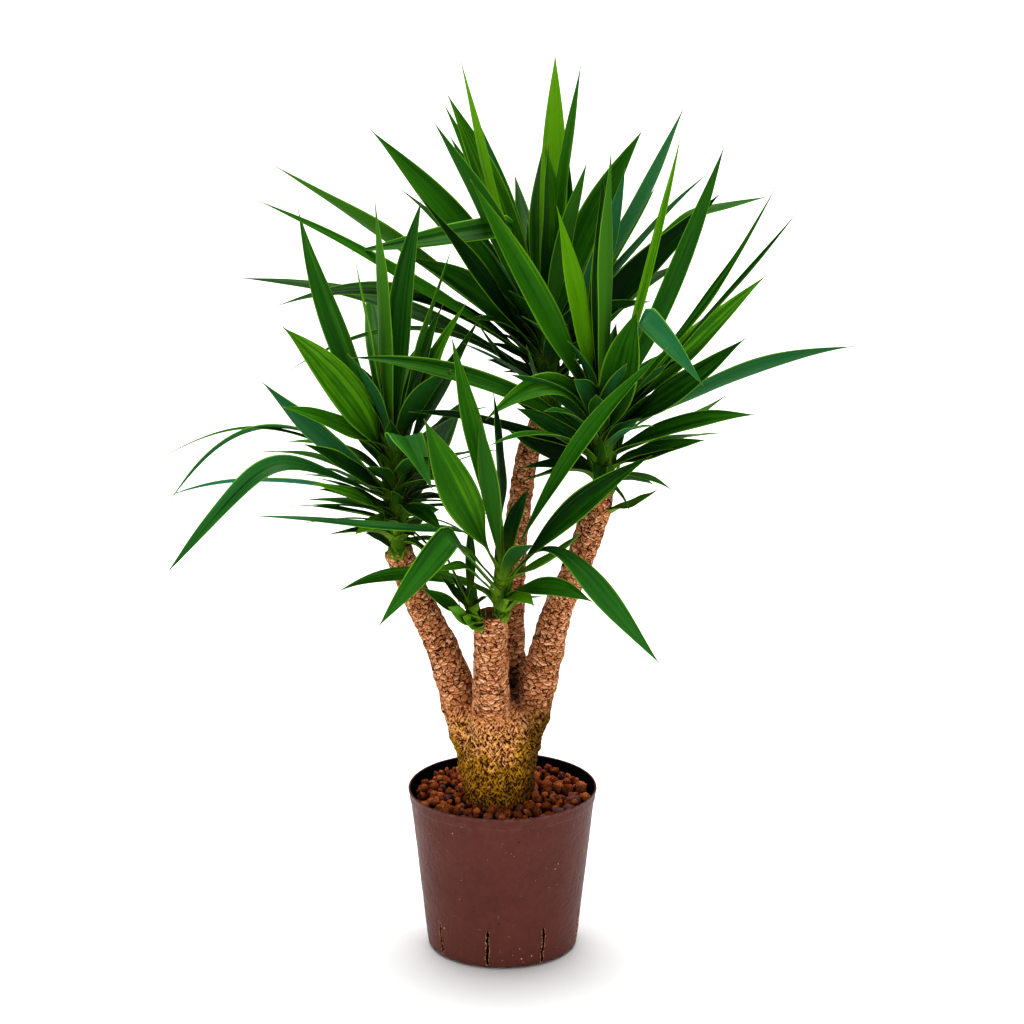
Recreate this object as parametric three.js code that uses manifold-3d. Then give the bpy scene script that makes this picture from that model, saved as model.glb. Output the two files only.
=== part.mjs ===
// A yucca grown from cut canes, standing in a plastic grow pot filled with baked clay granules.
// Millimetres, +Z up, origin at the centre of the pot's underside, front of the plant towards -Y.

import * as THREE from 'three';
import { mergeVertices } from 'three/addons/utils/BufferGeometryUtils.js';
import Module from 'manifold-3d';

const wasm = await Module();
wasm.setup();

// Driving dimensions of the pot
const POT_HEIGHT = 195.7;
const RIM_RADIUS = 110;
const FOOT_RADIUS = 87.7;
const WALL = 2;
const FLOOR = 2.5;
const COLLAR_HEIGHT = 14;
const COLLAR_STEP = 1.2;
const POT_SIDES = 48;
const SLIT_COUNT = 8;
const SLIT_WIDTH = 4;
const SLIT_FROM = 4;
const SLIT_TO = 50;
const SLIT_FIRST_ANGLE = -101;

// Driving dimensions of the filling
const FILL_LEVEL = 181;
const PEBBLE_COUNT = 68;
const PEBBLE_SMALL = 8.5;
const PEBBLE_LARGE = 10.5;
const PEBBLE_INNER = 40;
const PEBBLE_MARGIN = 3;
const PEBBLE_TRIES = 6000;
const PEBBLE_CROWDING = 0.88;
const PEBBLE_FLATNESS = 0.85;

// Driving dimensions of wood, shoots and blades
const GAP = 0.3;
const CANE_SIDES = 9;
const SCAR_PITCH = 14;
const SCAR_DEPTH = 0.9;
const OVAL_SHARE = 0.05;
const LUMP_SHARE = 0.03;
const STEM_SIDES = 8;
const SEAT_DEPTH = 8;
const BLADE_THICK_AT_STEM = 2.4;
const BLADE_THICK_AT_TIP = 1;
const BLADE_BASE_SHARE = 0.3;
const BLADE_TIP_SHARE = 0.05;
const BLADE_TIP_FULLNESS = 0.85;
const BLADE_ROOT_OUT = 0.4;
const BLADE_WIDEST_AT = 0.5;
const BLADE_TURNED_AT = 0.6;
const BLADE_STATIONS = [0, 0.2, 0.45, 0.7, 0.88, 1];
const GOLDEN_STEP = 0.618;
const MORE_REACH = [250, 300];
const MORE_WIDTH = [28, 34];
const MORE_BOW = [12, 26];
const MORE_TWIST = [-10, 10];
const MORE_SCATTER = [-4, 4];
const SHORT_BLADE = 160;
const SHORT_STATIONS = [0, 0.25, 0.55, 0.82, 1];
const CREASED_STATIONS = [0, 0.22, 0.42, 0.5, 0.64, 0.85, 1];

// Each cane from its cut top down into the stump, and last the stump's own core: x, y, z, radius
const CANES = [
  [[-122, 26, 480, 16], [-97, 18, 418, 16.5], [-72, 10, 366, 17.5], [-47, 0, 283, 21], [-30, 0, 235, 27],
    [-18, 0, 190, 29], [-15, 0, 145, 24]],
  [[115, -15, 566, 14], [106, -14, 530, 16], [86, -12, 470, 16], [65, -10, 416, 16], [50, -8, 350, 18.5],
    [35, -5, 291, 21.5], [18, -2, 240, 27], [12, 0, 190, 29], [12, 0, 145, 24]],
  [[58, 95, 638, 13], [46, 91, 612, 13], [31, 85, 581, 13], [20, 76, 515, 13.5], [14, 70, 451, 13.5],
    [8, 55, 360, 15], [6, 40, 288, 18], [2, 24, 235, 24], [0, 16, 190, 26], [0, 12, 145, 22]],
  [[-13, -50, 426, 18.5], [-13, -46, 370, 19.5], [-13, -38, 316, 21.5], [-12, -28, 250, 26],
    [-14, -20, 195, 27], [-12, -12, 145, 22]],
  [[-3, -8, 316, 20], [-4, -9, 290, 38], [-5, -9, 250, 47], [-5, -8, 215, 43], [-4, -6, 180, 39],
    [-3, -4, 140, 34]],
];

// Blades: share of the stem from foot to crown in per cent, heading and lift in degrees, reach, width,
// bow upwards, twist in degrees. Heading 0 is right, 90 away, 180 left, 270 towards the front.
const LEFT_BLADES = [
  [80, 158, 68, 310, 28, -11, -50],
  [70, 205, 54, 230, 36, 14, -70],
  [90, 224, 77, 240, 22, 0, -45],
  [90, 230, 85, 300, 26, 0, -30],
  [90, 36, 82, 290, 30, 12, 35],
  [55, 184, 41, 200, 28, -7, 50],
  [60, 213, 38, 185, 24, 21, -30],
  [50, 171, 8, 270, 22, 56, -5],
  [40, 168, 0, 280, 24, 25, 30],
  [50, 234, 31, 190, 28, 3, -40],
  [60, 166, 18, 135, 22, 18, 0],
  [50, 151, 8, 190, 22, 16, 0],
  [30, 225, 27, 145, 24, 6, -30],
  [30, 148, 0, 130, 20, 7, 0],
  [25, 199, 16, 105, 20, 4, 0],
  [45, 298, -3, 115, 24, 7, 15],
  [90, 18, 70, 180, 28, 6, 20],
  [80, 2, 66, 205, 28, 7, 30],
  [70, 15, 60, 205, 28, 3, -60],
  [90, 335, 73, 255, 24, 4, 10],
  [35, 244, 0, 100, 20, 1, -20],
  [55, 315, 15, 100, 20, 10, 0],
];
const FRONT_BLADES = [
  [80, 217, 61, 225, 36, -3, -70],
  [90, 185, 78, 275, 26, 2, -45],
  [90, 254, 66, 215, 24, -6, 0],
  [100, 219, 86, 200, 30, 4, -60],
  [70, 340, 56, 345, 30, 17, 70],
  [50, 332, 44, 260, 32, 13, 60],
  [40, 313, 10, 150, 30, 21, 40],
  [70, 347, 33, 110, 26, -8, 15],
  [30, 168, -1, 190, 24, 25, -30],
  [30, 302, 9, 70, 22, 9, 30],
];
const SMALL_BLADES = [
  [60, 225, 32, 100, 22, -2, -50],
  [90, 206, 64, 85, 18, 1, -30],
  [100, 300, 30, 45, 16, 0, 45],
  [100, 90, 76, 100, 16, 1, 0],
  [70, 206, 50, 65, 20, 1, -50],
  [40, 249, 26, 95, 22, -3, -65],
  [30, 253, 24, 60, 18, -4, -65],
];
const RIGHT_BLADES = [
  [80, 30, 62, 340, 36, -12, 45],
  [90, 346, 75, 335, 26, -8, 50],
  [80, 348, 55, 340, 26, -12, 10],
  [70, 12, 47, 330, 24, -4, 0],
  [70, 20, 39, 260, 34, 3, 30],
  [60, 335, 38, 220, 34, -2, 55],
  [50, 9, 20, 310, 28, 34, -35],
  [40, 331, 21, 205, 28, 19, 25],
  [25, 339, 20, 130, 26, 4, 15],
  [15, 349, -9, 80, 20, 9, 5],
  [12, 337, -2, 65, 20, -8, 30],
  [50, 198, 17, 145, 30, 58, -45],
  [80, 195, 62, 325, 34, 5, -65],
  [90, 181, 78, 245, 28, 2, -50],
  [100, 279, 81, 310, 24, -11, 70],
  [100, 97, 83, 205, 26, 1, -5],
  [95, 87, 89, 270, 22, 0, 0],
  [35, 187, 16, 230, 24, 11, -10],
  [30, 222, 17, 180, 22, 24, 0],
  [20, 155, 18, 135, 30, -2, -35],
  [15, 206, 12, 105, 22, 9, -15],
  [40, 133, 13, 150, 30, 12, -30],
  [50, 185, 21, 305, 26, 27, -40],
  [50, 292, 23, 155, 28, 22, 60],
  [60, 67, 35, 180, 28, 20, 15],
];
const BACK_BLADES = [
  [60, 176, 36, 385, 26, 12, 40],
  [55, 189, 32, 390, 28, 8, -10],
  [40, 195, 42, 220, 36, 24, -60],
  [30, 171, 17, 380, 28, 28, -15],
  [25, 186, 18, 330, 28, 60, -15],
  [15, 181, 5, 305, 22, 62, 0],
  [80, 158, 48, 325, 36, 14, -50],
  [60, 227, 48, 310, 30, 1, -70],
  [90, 213, 62, 310, 30, 11, 35],
  [90, 141, 61, 300, 26, 6, -10],
  [90, 169, 69, 305, 34, 8, -60],
  [100, 190, 74, 335, 22, 18, 25],
  [90, 230, 68, 305, 32, 7, 40],
  [100, 74, 80, 320, 32, -24, 10],
  [100, 349, 82, 320, 26, 1, 30],
  [100, 275, 70, 280, 26, 8, -5],
  [90, 276, 76, 250, 28, 5, 70],
  [90, 73, 66, 240, 28, -30, 10],
  [80, 32, 61, 275, 34, 14, 45],
  [90, 298, 66, 250, 24, 4, 0],
  [80, 4, 60, 320, 28, -10, -30],
  [70, 342, 67, 245, 28, -15, -50],
  [70, 40, 46, 245, 24, -4, 5],
  [50, 351, 47, 280, 36, 3, 60],
  [60, 23, 45, 290, 28, 10, -25],
  [30, 258, 31, 145, 22, -13, -60],
  [20, 222, 41, 145, 24, -10, -10],
  [12, 227, 31, 170, 22, 5, -10],
];

// Creased blades: share of the stem, width, twist, then heading, lift and length of the stretch before
// the crease and of the stretch that hangs from it.
const LEFT_CREASED = [
  [60, 26, 15, [166, 22, 180], [164, -43, 150]],
  [45, 34, -35, [195, 19, 165], [201, -45, 160]],
  [90, 44, 20, [304, 30, 80], [285, -45, 75]],
];
const FRONT_CREASED = [
  [60, 32, 35, [329, 27, 105], [319, -40, 155]],
  [40, 34, -40, [225, 49, 125], [208, -45, 150]],
  [45, 26, -10, [218, 47, 115], [167, 1, 230]],
  [55, 20, -10, [205, 47, 60], [197, 31, 40]],
  [35, 20, -15, [222, 40, 75], [209, 1, 40]],
];
const RIGHT_CREASED = [
  [75, 34, -40, [313, 68, 150], [326, -36, 110]],
  [35, 22, 0, [37, 10, 130], [35, 25, 60]],
];
const BACK_CREASED = [
  [80, 34, 30, [234, 68, 165], [171, -10, 190]],
  [50, 28, 5, [10, 46, 245], [19, 8, 95]],
];

// Leafy shoots: the foot on its cane, the crown, the stem's radius, and how many more blades fill
// the side that faces away, over a sweep of headings and of lifts
const SHOOTS = [
  { name: 'head_left', foot: [-120, 25, 478], crown: [-125, 15, 612], radius: 9,
    blades: LEFT_BLADES, creased: LEFT_CREASED, more: 5, sweep: [80, 150], lifts: [8, 38] },
  { name: 'head_front', foot: [-1, -56, 424], crown: [1, -66, 494], radius: 8,
    blades: FRONT_BLADES, creased: FRONT_CREASED, more: 0, sweep: [0, 0], lifts: [0, 0] },
  { name: 'head_front_small', foot: [-25, -61, 410], crown: [-36, -74, 442], radius: 5,
    blades: SMALL_BLADES, creased: [], more: 0, sweep: [0, 0], lifts: [0, 0] },
  { name: 'head_right', foot: [116, -15, 564], crown: [111, -20, 663], radius: 10,
    blades: RIGHT_BLADES, creased: RIGHT_CREASED, more: 6, sweep: [55, 106], lifts: [-4, 8] },
  { name: 'head_back', foot: [57, 95, 636], crown: [45, 88, 718], radius: 9.5,
    blades: BACK_BLADES, creased: BACK_CREASED, more: 8, sweep: [30, 165], lifts: [18, 65] },
];

// Small helpers

const radians = THREE.MathUtils.degToRad;
const smooth = (x) => THREE.MathUtils.smoothstep(x, 0, 1);

// A repeatable run of numbers from 0 to 1
function seededRandom(seed) {
  const multiplier = 1664525;
  const increment = 1013904223;
  let state = seed;
  return () => {
    state = (Math.imul(state, multiplier) + increment) >>> 0;
    return state / 2 ** 32;
  };
}

function solidFrom(geometry) {
  const bare = geometry.clone();
  bare.deleteAttribute('normal');
  bare.deleteAttribute('uv');
  const merged = mergeVertices(bare, 1e-4);
  return new wasm.Manifold(new wasm.Mesh({
    numProp: 3,
    vertProperties: new Float32Array(merged.attributes.position.array),
    triVerts: new Uint32Array(merged.index.array),
  }));
}

// The triangles of the largest connected skin. Pockets that crossing blades seal are filled this way.
function largestSkin(triangles, vertexCount) {
  const parent = Array.from({ length: vertexCount }, (_, v) => v);
  const root = (v) => {
    let top = v;
    while (parent[top] !== top) {
      parent[top] = parent[parent[top]];
      top = parent[top];
    }
    return top;
  };
  for (let i = 0; i < triangles.length; i += 3) {
    parent[root(triangles[i])] = root(triangles[i + 1]);
    parent[root(triangles[i + 2])] = root(triangles[i + 1]);
  }
  const skins = new Map();
  for (let i = 0; i < triangles.length; i += 3) {
    const skin = root(triangles[i]);
    const gathered = skins.get(skin) ?? [];
    gathered.push(triangles[i], triangles[i + 1], triangles[i + 2]);
    skins.set(skin, gathered);
  }
  return [...skins.values()].reduce((best, skin) => (skin.length > best.length ? skin : best));
}

function geometryFrom(solid) {
  const mesh = solid.getMesh();
  const geometry = new THREE.BufferGeometry();
  geometry.setAttribute('position', new THREE.BufferAttribute(mesh.vertProperties, 3));
  geometry.setIndex(largestSkin(mesh.triVerts, mesh.vertProperties.length / 3));
  const compact = mergeVertices(geometry.toNonIndexed(), 1e-5);
  compact.computeVertexNormals();
  return compact;
}

const joined = (solids) => solids.reduce((whole, piece) => whole.add(piece));

// A closed skin over rings of equal count. The sides named in turned are split along the other
// diagonal, so that a blade's two faces break alike.
function loft(rings, turned = []) {
  const count = rings[0].length;
  const positions = rings.flat().flatMap((p) => [p.x, p.y, p.z]);
  const index = [];
  for (let r = 0; r + 1 < rings.length; r += 1) {
    for (let j = 0; j < count; j += 1) {
      const a = r * count + j;
      const b = r * count + (j + 1) % count;
      const c = b + count;
      const d = a + count;
      index.push(...(turned.includes(j) ? [a, b, d, b, c, d] : [a, b, c, a, c, d]));
    }
  }
  const last = (rings.length - 1) * count;
  for (let j = 1; j + 1 < count; j += 1) {
    index.push(0, j + 1, j);
    index.push(last, last + j, last + j + 1);
  }
  const geometry = new THREE.BufferGeometry();
  geometry.setAttribute('position', new THREE.Float32BufferAttribute(positions, 3));
  geometry.setIndex(index);
  return geometry;
}

// A round ring about a point, square to a direction, counter-clockwise seen against it
function ringAt(centre, direction, radiusAt, sides) {
  const along = direction.clone().normalize();
  const across = new THREE.Vector3(0, 1, 0).addScaledVector(along, -along.y).normalize();
  const third = new THREE.Vector3().crossVectors(along, across);
  return Array.from({ length: sides }, (_, j) => {
    const angle = (j / sides) * 2 * Math.PI;
    const radius = radiusAt(angle);
    return centre.clone()
      .addScaledVector(across, Math.cos(angle) * radius)
      .addScaledVector(third, Math.sin(angle) * radius);
  });
}

// The pot

// The wall's outer radius at a height, below the collar
function outer(z) {
  return THREE.MathUtils.mapLinear(z, 0, POT_HEIGHT, FOOT_RADIUS, RIM_RADIUS - COLLAR_STEP);
}

function lathe(profile) {
  const points = profile.map(([radius, z]) => new THREE.Vector2(radius, z));
  return new THREE.LatheGeometry(points, POT_SIDES).rotateX(Math.PI / 2);
}

function potWall() {
  const ledge = POT_HEIGHT - COLLAR_HEIGHT;
  const profile = [
    [0, 0],
    [FOOT_RADIUS - 1.5, 0],
    [outer(1.5), 1.5],
    [outer(ledge), ledge],
    [outer(ledge) + COLLAR_STEP, ledge + 1],
    [RIM_RADIUS - 0.8, POT_HEIGHT - 3],
    [RIM_RADIUS, POT_HEIGHT - 2],
    [RIM_RADIUS - 0.3, POT_HEIGHT - 0.3],
    [RIM_RADIUS - 1.2, POT_HEIGHT],
    [RIM_RADIUS - 2.4, POT_HEIGHT - 0.6],
    [outer(ledge) - WALL + 0.8, ledge],
    [outer(FLOOR) - WALL, FLOOR],
    [0, FLOOR],
  ];
  return lathe(profile);
}

function slit(number) {
  const angle = radians(SLIT_FIRST_ANGLE + number * (360 / SLIT_COUNT));
  const box = new THREE.BoxGeometry(10 * WALL, SLIT_WIDTH, SLIT_TO - SLIT_FROM);
  box.translate(FOOT_RADIUS, 0, (SLIT_FROM + SLIT_TO) / 2);
  return box.rotateZ(angle);
}

function buildPot() {
  let pot = solidFrom(potWall());
  for (let number = 0; number < SLIT_COUNT; number += 1) {
    pot = pot.subtract(solidFrom(slit(number)));
  }
  return pot;
}

// The trunk: canes lofted down into one knobbly stump, ringed by old leaf scars

function caneGeometry(points, extra) {
  const spine = new THREE.CatmullRomCurve3(points.map(([x, y, z]) => new THREE.Vector3(x, y, z)));
  const steps = Math.round(spine.getLength() / SCAR_PITCH);
  const rings = [];
  for (let i = 0; i <= steps; i += 1) {
    const t = i / steps;
    const place = t * (points.length - 1);
    const low = Math.min(Math.floor(place), points.length - 2);
    const radius = THREE.MathUtils.lerp(points[low][3], points[low + 1][3], place - low);
    const scar = (i % 2 === 0 ? 1 : -1) * SCAR_DEPTH;
    const radiusAt = (angle) => {
      const oval = OVAL_SHARE * Math.cos(2 * angle + 0.9 * i);
      const lump = LUMP_SHARE * Math.cos(3 * angle - 1.7 * i);
      return radius * (1 + oval + lump) + scar + extra;
    };
    rings.push(ringAt(spine.getPoint(t), spine.getTangent(t).negate(), radiusAt, CANE_SIDES));
  }
  return loft(rings.reverse());
}

const trunkWith = (extra) => joined(CANES.map((points) => solidFrom(caneGeometry(points, extra))));

// The filling: a plug inside the pot wall with pebbles standing out of its top

function plugGeometry() {
  const clear = WALL + 2 * GAP;
  return lathe([
    [0, FLOOR + GAP],
    [outer(FLOOR) - clear, FLOOR + GAP],
    [outer(FILL_LEVEL) - clear, FILL_LEVEL],
    [0, FILL_LEVEL],
  ]);
}

function pebblePlaces() {
  const random = seededRandom(41);
  const edge = outer(FILL_LEVEL) - WALL - PEBBLE_MARGIN;
  const placed = [];
  for (let tries = 0; tries < PEBBLE_TRIES && placed.length < PEBBLE_COUNT; tries += 1) {
    const size = THREE.MathUtils.lerp(PEBBLE_SMALL, PEBBLE_LARGE, random());
    const outermost = edge - size;
    const away = Math.sqrt(THREE.MathUtils.lerp(PEBBLE_INNER ** 2, outermost ** 2, random()));
    const angle = random() * 2 * Math.PI;
    const x = away * Math.cos(angle);
    const y = away * Math.sin(angle);
    const clearOf = (other) => Math.hypot(x - other.x, y - other.y) > PEBBLE_CROWDING * (size + other.size);
    if (placed.every(clearOf)) {
      placed.push({ x, y, size, turn: random() * 3, drop: random() * 3 });
    }
  }
  return placed;
}

function pebble({ x, y, size, turn, drop }) {
  const stone = new THREE.IcosahedronGeometry(size, 0);
  stone.rotateX(turn);
  stone.rotateZ(turn * 2);
  stone.scale(1, 1, PEBBLE_FLATNESS);
  return stone.translate(x, y, FILL_LEVEL + 1 - drop);
}

function buildGranules() {
  const plug = solidFrom(plugGeometry());
  const stones = pebblePlaces().map((place) => solidFrom(pebble(place)));
  return joined([plug, ...stones]).subtract(trunkWith(2 * GAP));
}

// Shoots: a stem with lance-shaped blades that grow from its axis

function stemGeometry({ foot, crown, radius }, extra, sunk) {
  const low = new THREE.Vector3(...foot);
  const high = new THREE.Vector3(...crown);
  const along = new THREE.Vector3().subVectors(high, low).normalize();
  const length = low.distanceTo(high);
  const steps = [
    [-sunk, 0.8],
    [3, 0.85],
    [0.3 * length, 1],
    [0.75 * length, 0.95],
    [length, 0.65],
    [length + radius, 0.2],
  ];
  return loft(steps.map(([distance, share]) => {
    const centre = low.clone().addScaledVector(along, distance);
    return ringAt(centre, along, () => radius * share + extra, STEM_SIDES);
  }));
}

function bladeShape(s) {
  if (s < BLADE_WIDEST_AT) {
    const grown = Math.sin((Math.PI / 2) * (s / BLADE_WIDEST_AT));
    return BLADE_BASE_SHARE + (1 - BLADE_BASE_SHARE) * grown;
  }
  const left = Math.cos((Math.PI / 2) * ((s - BLADE_WIDEST_AT) / (1 - BLADE_WIDEST_AT)));
  return BLADE_TIP_SHARE + (1 - BLADE_TIP_SHARE) * left ** BLADE_TIP_FULLNESS;
}

function headingVector(heading, lift) {
  const flat = Math.cos(radians(lift));
  return new THREE.Vector3(
    flat * Math.cos(radians(heading)), flat * Math.sin(radians(heading)), Math.sin(radians(lift)));
}

// One blade along a path. It starts square to the stem and turns by its twist towards the middle.
function bladeGeometry(path, width, twist, headingAt, stations) {
  const rings = stations.map((s) => {
    const centre = path.getPointAt(s);
    const along = path.getTangentAt(s);
    const level = radians(headingAt(s) + 90);
    const across = new THREE.Vector3(Math.cos(level), Math.sin(level), 0);
    const face = new THREE.Vector3().crossVectors(along, across).normalize();
    across.crossVectors(face, along);
    const turn = radians(twist) * smooth(s / BLADE_TURNED_AT);
    across.applyAxisAngle(along, turn);
    face.applyAxisAngle(along, turn);
    const half = (width / 2) * bladeShape(s);
    const thick = THREE.MathUtils.lerp(BLADE_THICK_AT_STEM, BLADE_THICK_AT_TIP, s);
    const at = (side, height) => centre.clone().addScaledVector(across, side).addScaledVector(face, height);
    return [at(half, 0), at(-half, 0), at(-half, -thick), at(half, -thick)];
  });
  return loft(rings, [2]);
}

function arcedBlade(core, out, [heading, lift, reach, width, bow, twist]) {
  const along = headingVector(heading, lift);
  const rise = headingVector(heading, lift + 90);
  const root = core.clone().addScaledVector(headingVector(heading, 0), out);
  const tip = core.clone().addScaledVector(along, reach);
  const bend = core.clone().addScaledVector(along, reach / 2).addScaledVector(rise, 2 * bow);
  const path = new THREE.QuadraticBezierCurve3(root, bend, tip);
  const stations = reach < SHORT_BLADE ? SHORT_STATIONS : BLADE_STATIONS;
  return bladeGeometry(path, width, twist, () => heading, stations);
}

function creasedBlade(core, out, [width, twist, before, after]) {
  const root = core.clone().addScaledVector(headingVector(before[0], 0), out);
  const crease = core.clone().addScaledVector(headingVector(before[0], before[1]), before[2]);
  const tip = crease.clone().addScaledVector(headingVector(after[0], after[1]), after[2]);
  const points = [root, root.clone().lerp(crease, 0.85), crease, crease.clone().lerp(tip, 0.15), tip];
  const path = new THREE.CatmullRomCurve3(points, false, 'centripetal');
  const headingAt = (s) => THREE.MathUtils.lerp(before[0], after[0], smooth(2 * s - 0.5));
  return bladeGeometry(path, width, twist, headingAt, CREASED_STATIONS);
}

// Blades on the far side, low and long at the bottom of the stem, steep and young at its top
function moreBlades({ more, sweep, lifts }, seed) {
  const random = seededRandom(seed);
  const between = ([low, high], t) => THREE.MathUtils.lerp(low, high, t);
  return Array.from({ length: more }, (_, i) => {
    const share = 0.2 + 0.75 * ((i * GOLDEN_STEP) % 1);
    const heading = between(sweep, (i + 0.5) / more) + between(MORE_SCATTER, random());
    const lift = between(lifts, share) + between(MORE_SCATTER, random());
    const form = [MORE_REACH, MORE_WIDTH, MORE_BOW, MORE_TWIST].map((range) => between(range, random()));
    return [100 * share, heading, lift, ...form];
  });
}

function buildShoot(shoot, number) {
  const foot = new THREE.Vector3(...shoot.foot);
  const crown = new THREE.Vector3(...shoot.crown);
  const rootAt = (share) => foot.clone().lerp(crown, share / 100);
  const out = BLADE_ROOT_OUT * shoot.radius;
  const arced = [...shoot.blades, ...moreBlades(shoot, 7 + number)]
    .map(([share, ...row]) => arcedBlade(rootAt(share), out, row));
  const creased = shoot.creased.map(([share, ...row]) => creasedBlade(rootAt(share), out, row));
  return joined([stemGeometry(shoot, 0, SEAT_DEPTH), ...arced, ...creased].map(solidFrom));
}

// Each shoot's foot stands in a socket in its cut cane
function buildTrunk() {
  const sockets = SHOOTS.map((shoot) => solidFrom(stemGeometry(shoot, GAP, SEAT_DEPTH + GAP)));
  return trunkWith(0).subtract(joined(sockets));
}

// Finishes

const finishes = {
  pot: new THREE.MeshStandardMaterial({ color: '#5e3630', roughness: 0.45, metalness: 0 }),
  clay: new THREE.MeshStandardMaterial({ color: '#8a4a2c', roughness: 0.95, metalness: 0 }),
  bark: new THREE.MeshStandardMaterial({ color: '#a8754a', roughness: 0.9, metalness: 0 }),
  leaf: new THREE.MeshStandardMaterial({ color: '#3c6e1c', roughness: 0.5, metalness: 0 }),
};

function named(name, solid, finish) {
  const mesh = new THREE.Mesh(geometryFrom(solid), finish.clone());
  mesh.name = name;
  return mesh;
}

const group = new THREE.Group();
group.add(named('pot', buildPot(), finishes.pot));
group.add(named('granules', buildGranules(), finishes.clay));
group.add(named('trunk', buildTrunk(), finishes.bark));
SHOOTS.forEach((shoot, number) => group.add(named(shoot.name, buildShoot(shoot, number), finishes.leaf)));

export default group;
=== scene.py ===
"""Finishes the potted yucca: pot, baked clay granules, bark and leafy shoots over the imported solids.

Sizes in the tables are in millimetres and degrees. Meshes are in metres, +Z up, front towards -Y.
"""

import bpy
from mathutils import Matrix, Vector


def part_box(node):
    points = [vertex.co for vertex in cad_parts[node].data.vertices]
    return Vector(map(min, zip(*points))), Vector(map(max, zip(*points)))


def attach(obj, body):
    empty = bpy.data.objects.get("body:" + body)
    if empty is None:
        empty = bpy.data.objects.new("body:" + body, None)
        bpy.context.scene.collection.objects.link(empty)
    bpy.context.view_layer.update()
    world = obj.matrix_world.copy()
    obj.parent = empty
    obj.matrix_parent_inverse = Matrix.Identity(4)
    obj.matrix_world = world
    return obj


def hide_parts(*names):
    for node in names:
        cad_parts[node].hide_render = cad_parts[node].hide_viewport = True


bl_info = {
    "name": "Potted Yucca",
    "version": (1, 0, 0),
    "blender": (4, 5, 0),
    "location": "3D View > Sidebar > Yucca",
    "description": "Builds the finished pot, granules, bark and leaves of a cane yucca",
    "category": "Object",
}

import math

import bmesh
import bpy
import numpy as np
from bpy.props import FloatProperty, FloatVectorProperty, IntProperty, PointerProperty
from mathutils import Vector, kdtree, noise

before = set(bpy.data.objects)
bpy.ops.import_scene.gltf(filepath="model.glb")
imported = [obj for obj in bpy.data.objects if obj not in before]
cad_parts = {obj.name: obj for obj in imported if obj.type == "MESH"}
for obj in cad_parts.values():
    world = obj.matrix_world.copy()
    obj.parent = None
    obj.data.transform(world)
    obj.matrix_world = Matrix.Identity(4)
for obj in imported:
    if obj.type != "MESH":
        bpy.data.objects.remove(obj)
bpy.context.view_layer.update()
POT_LOW, POT_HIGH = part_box("pot")

MM = 0.001

# Canes from the cut top down into the stump, left, right, back and front, and last the stump's own
# core: x, y, z, radius
CANES = [
    [[-122, 26, 480, 16], [-97, 18, 418, 16.5], [-71, 9, 366, 18.5], [-45, 0, 290, 23], [-28, 0, 235, 24.5],
     [-18, 0, 190, 26], [-15, 0, 145, 22]],
    [[115, -15, 566, 14], [106, -14, 530, 16], [86, -12, 470, 16], [64, -9, 416, 17], [48, -5, 350, 20.5],
     [33, -3, 296, 23.5], [16, -2, 240, 24.5], [10, 0, 190, 25], [10, 0, 145, 22]],
    [[58, 95, 638, 13], [46, 91, 612, 13], [31, 85, 581, 13], [20, 76, 515, 13.5], [14, 70, 451, 13.5],
     [9, 52, 360, 17], [9, 36, 310, 22], [6, 30, 270, 24], [2, 24, 235, 24], [0, 16, 190, 26],
     [0, 12, 145, 22]],
    [[-13, -50, 426, 18.5], [-13, -46, 370, 19.5], [-13, -38, 316, 21.5], [-12, -28, 250, 26],
     [-14, -20, 195, 27], [-12, -12, 145, 22]],
    [[-3, -8, 316, 20], [-4, -9, 290, 37], [-5, -9, 250, 44], [-5, -8, 215, 39.5], [-4, -6, 180, 35],
     [-3, -4, 140, 31]],
]

# For each of the four canes: how much its rings of scars tilt, its share of shade, and how closely the
# plates of its bark stand
CANE_TILT = [0.3, 0.3, 0.3, 0.85]
CANE_SHADE = [0.05, 0.12, 0.25, 0.0]
CANE_CLOSE = [1.0, 1.05, 1.3, 1.35]

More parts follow.
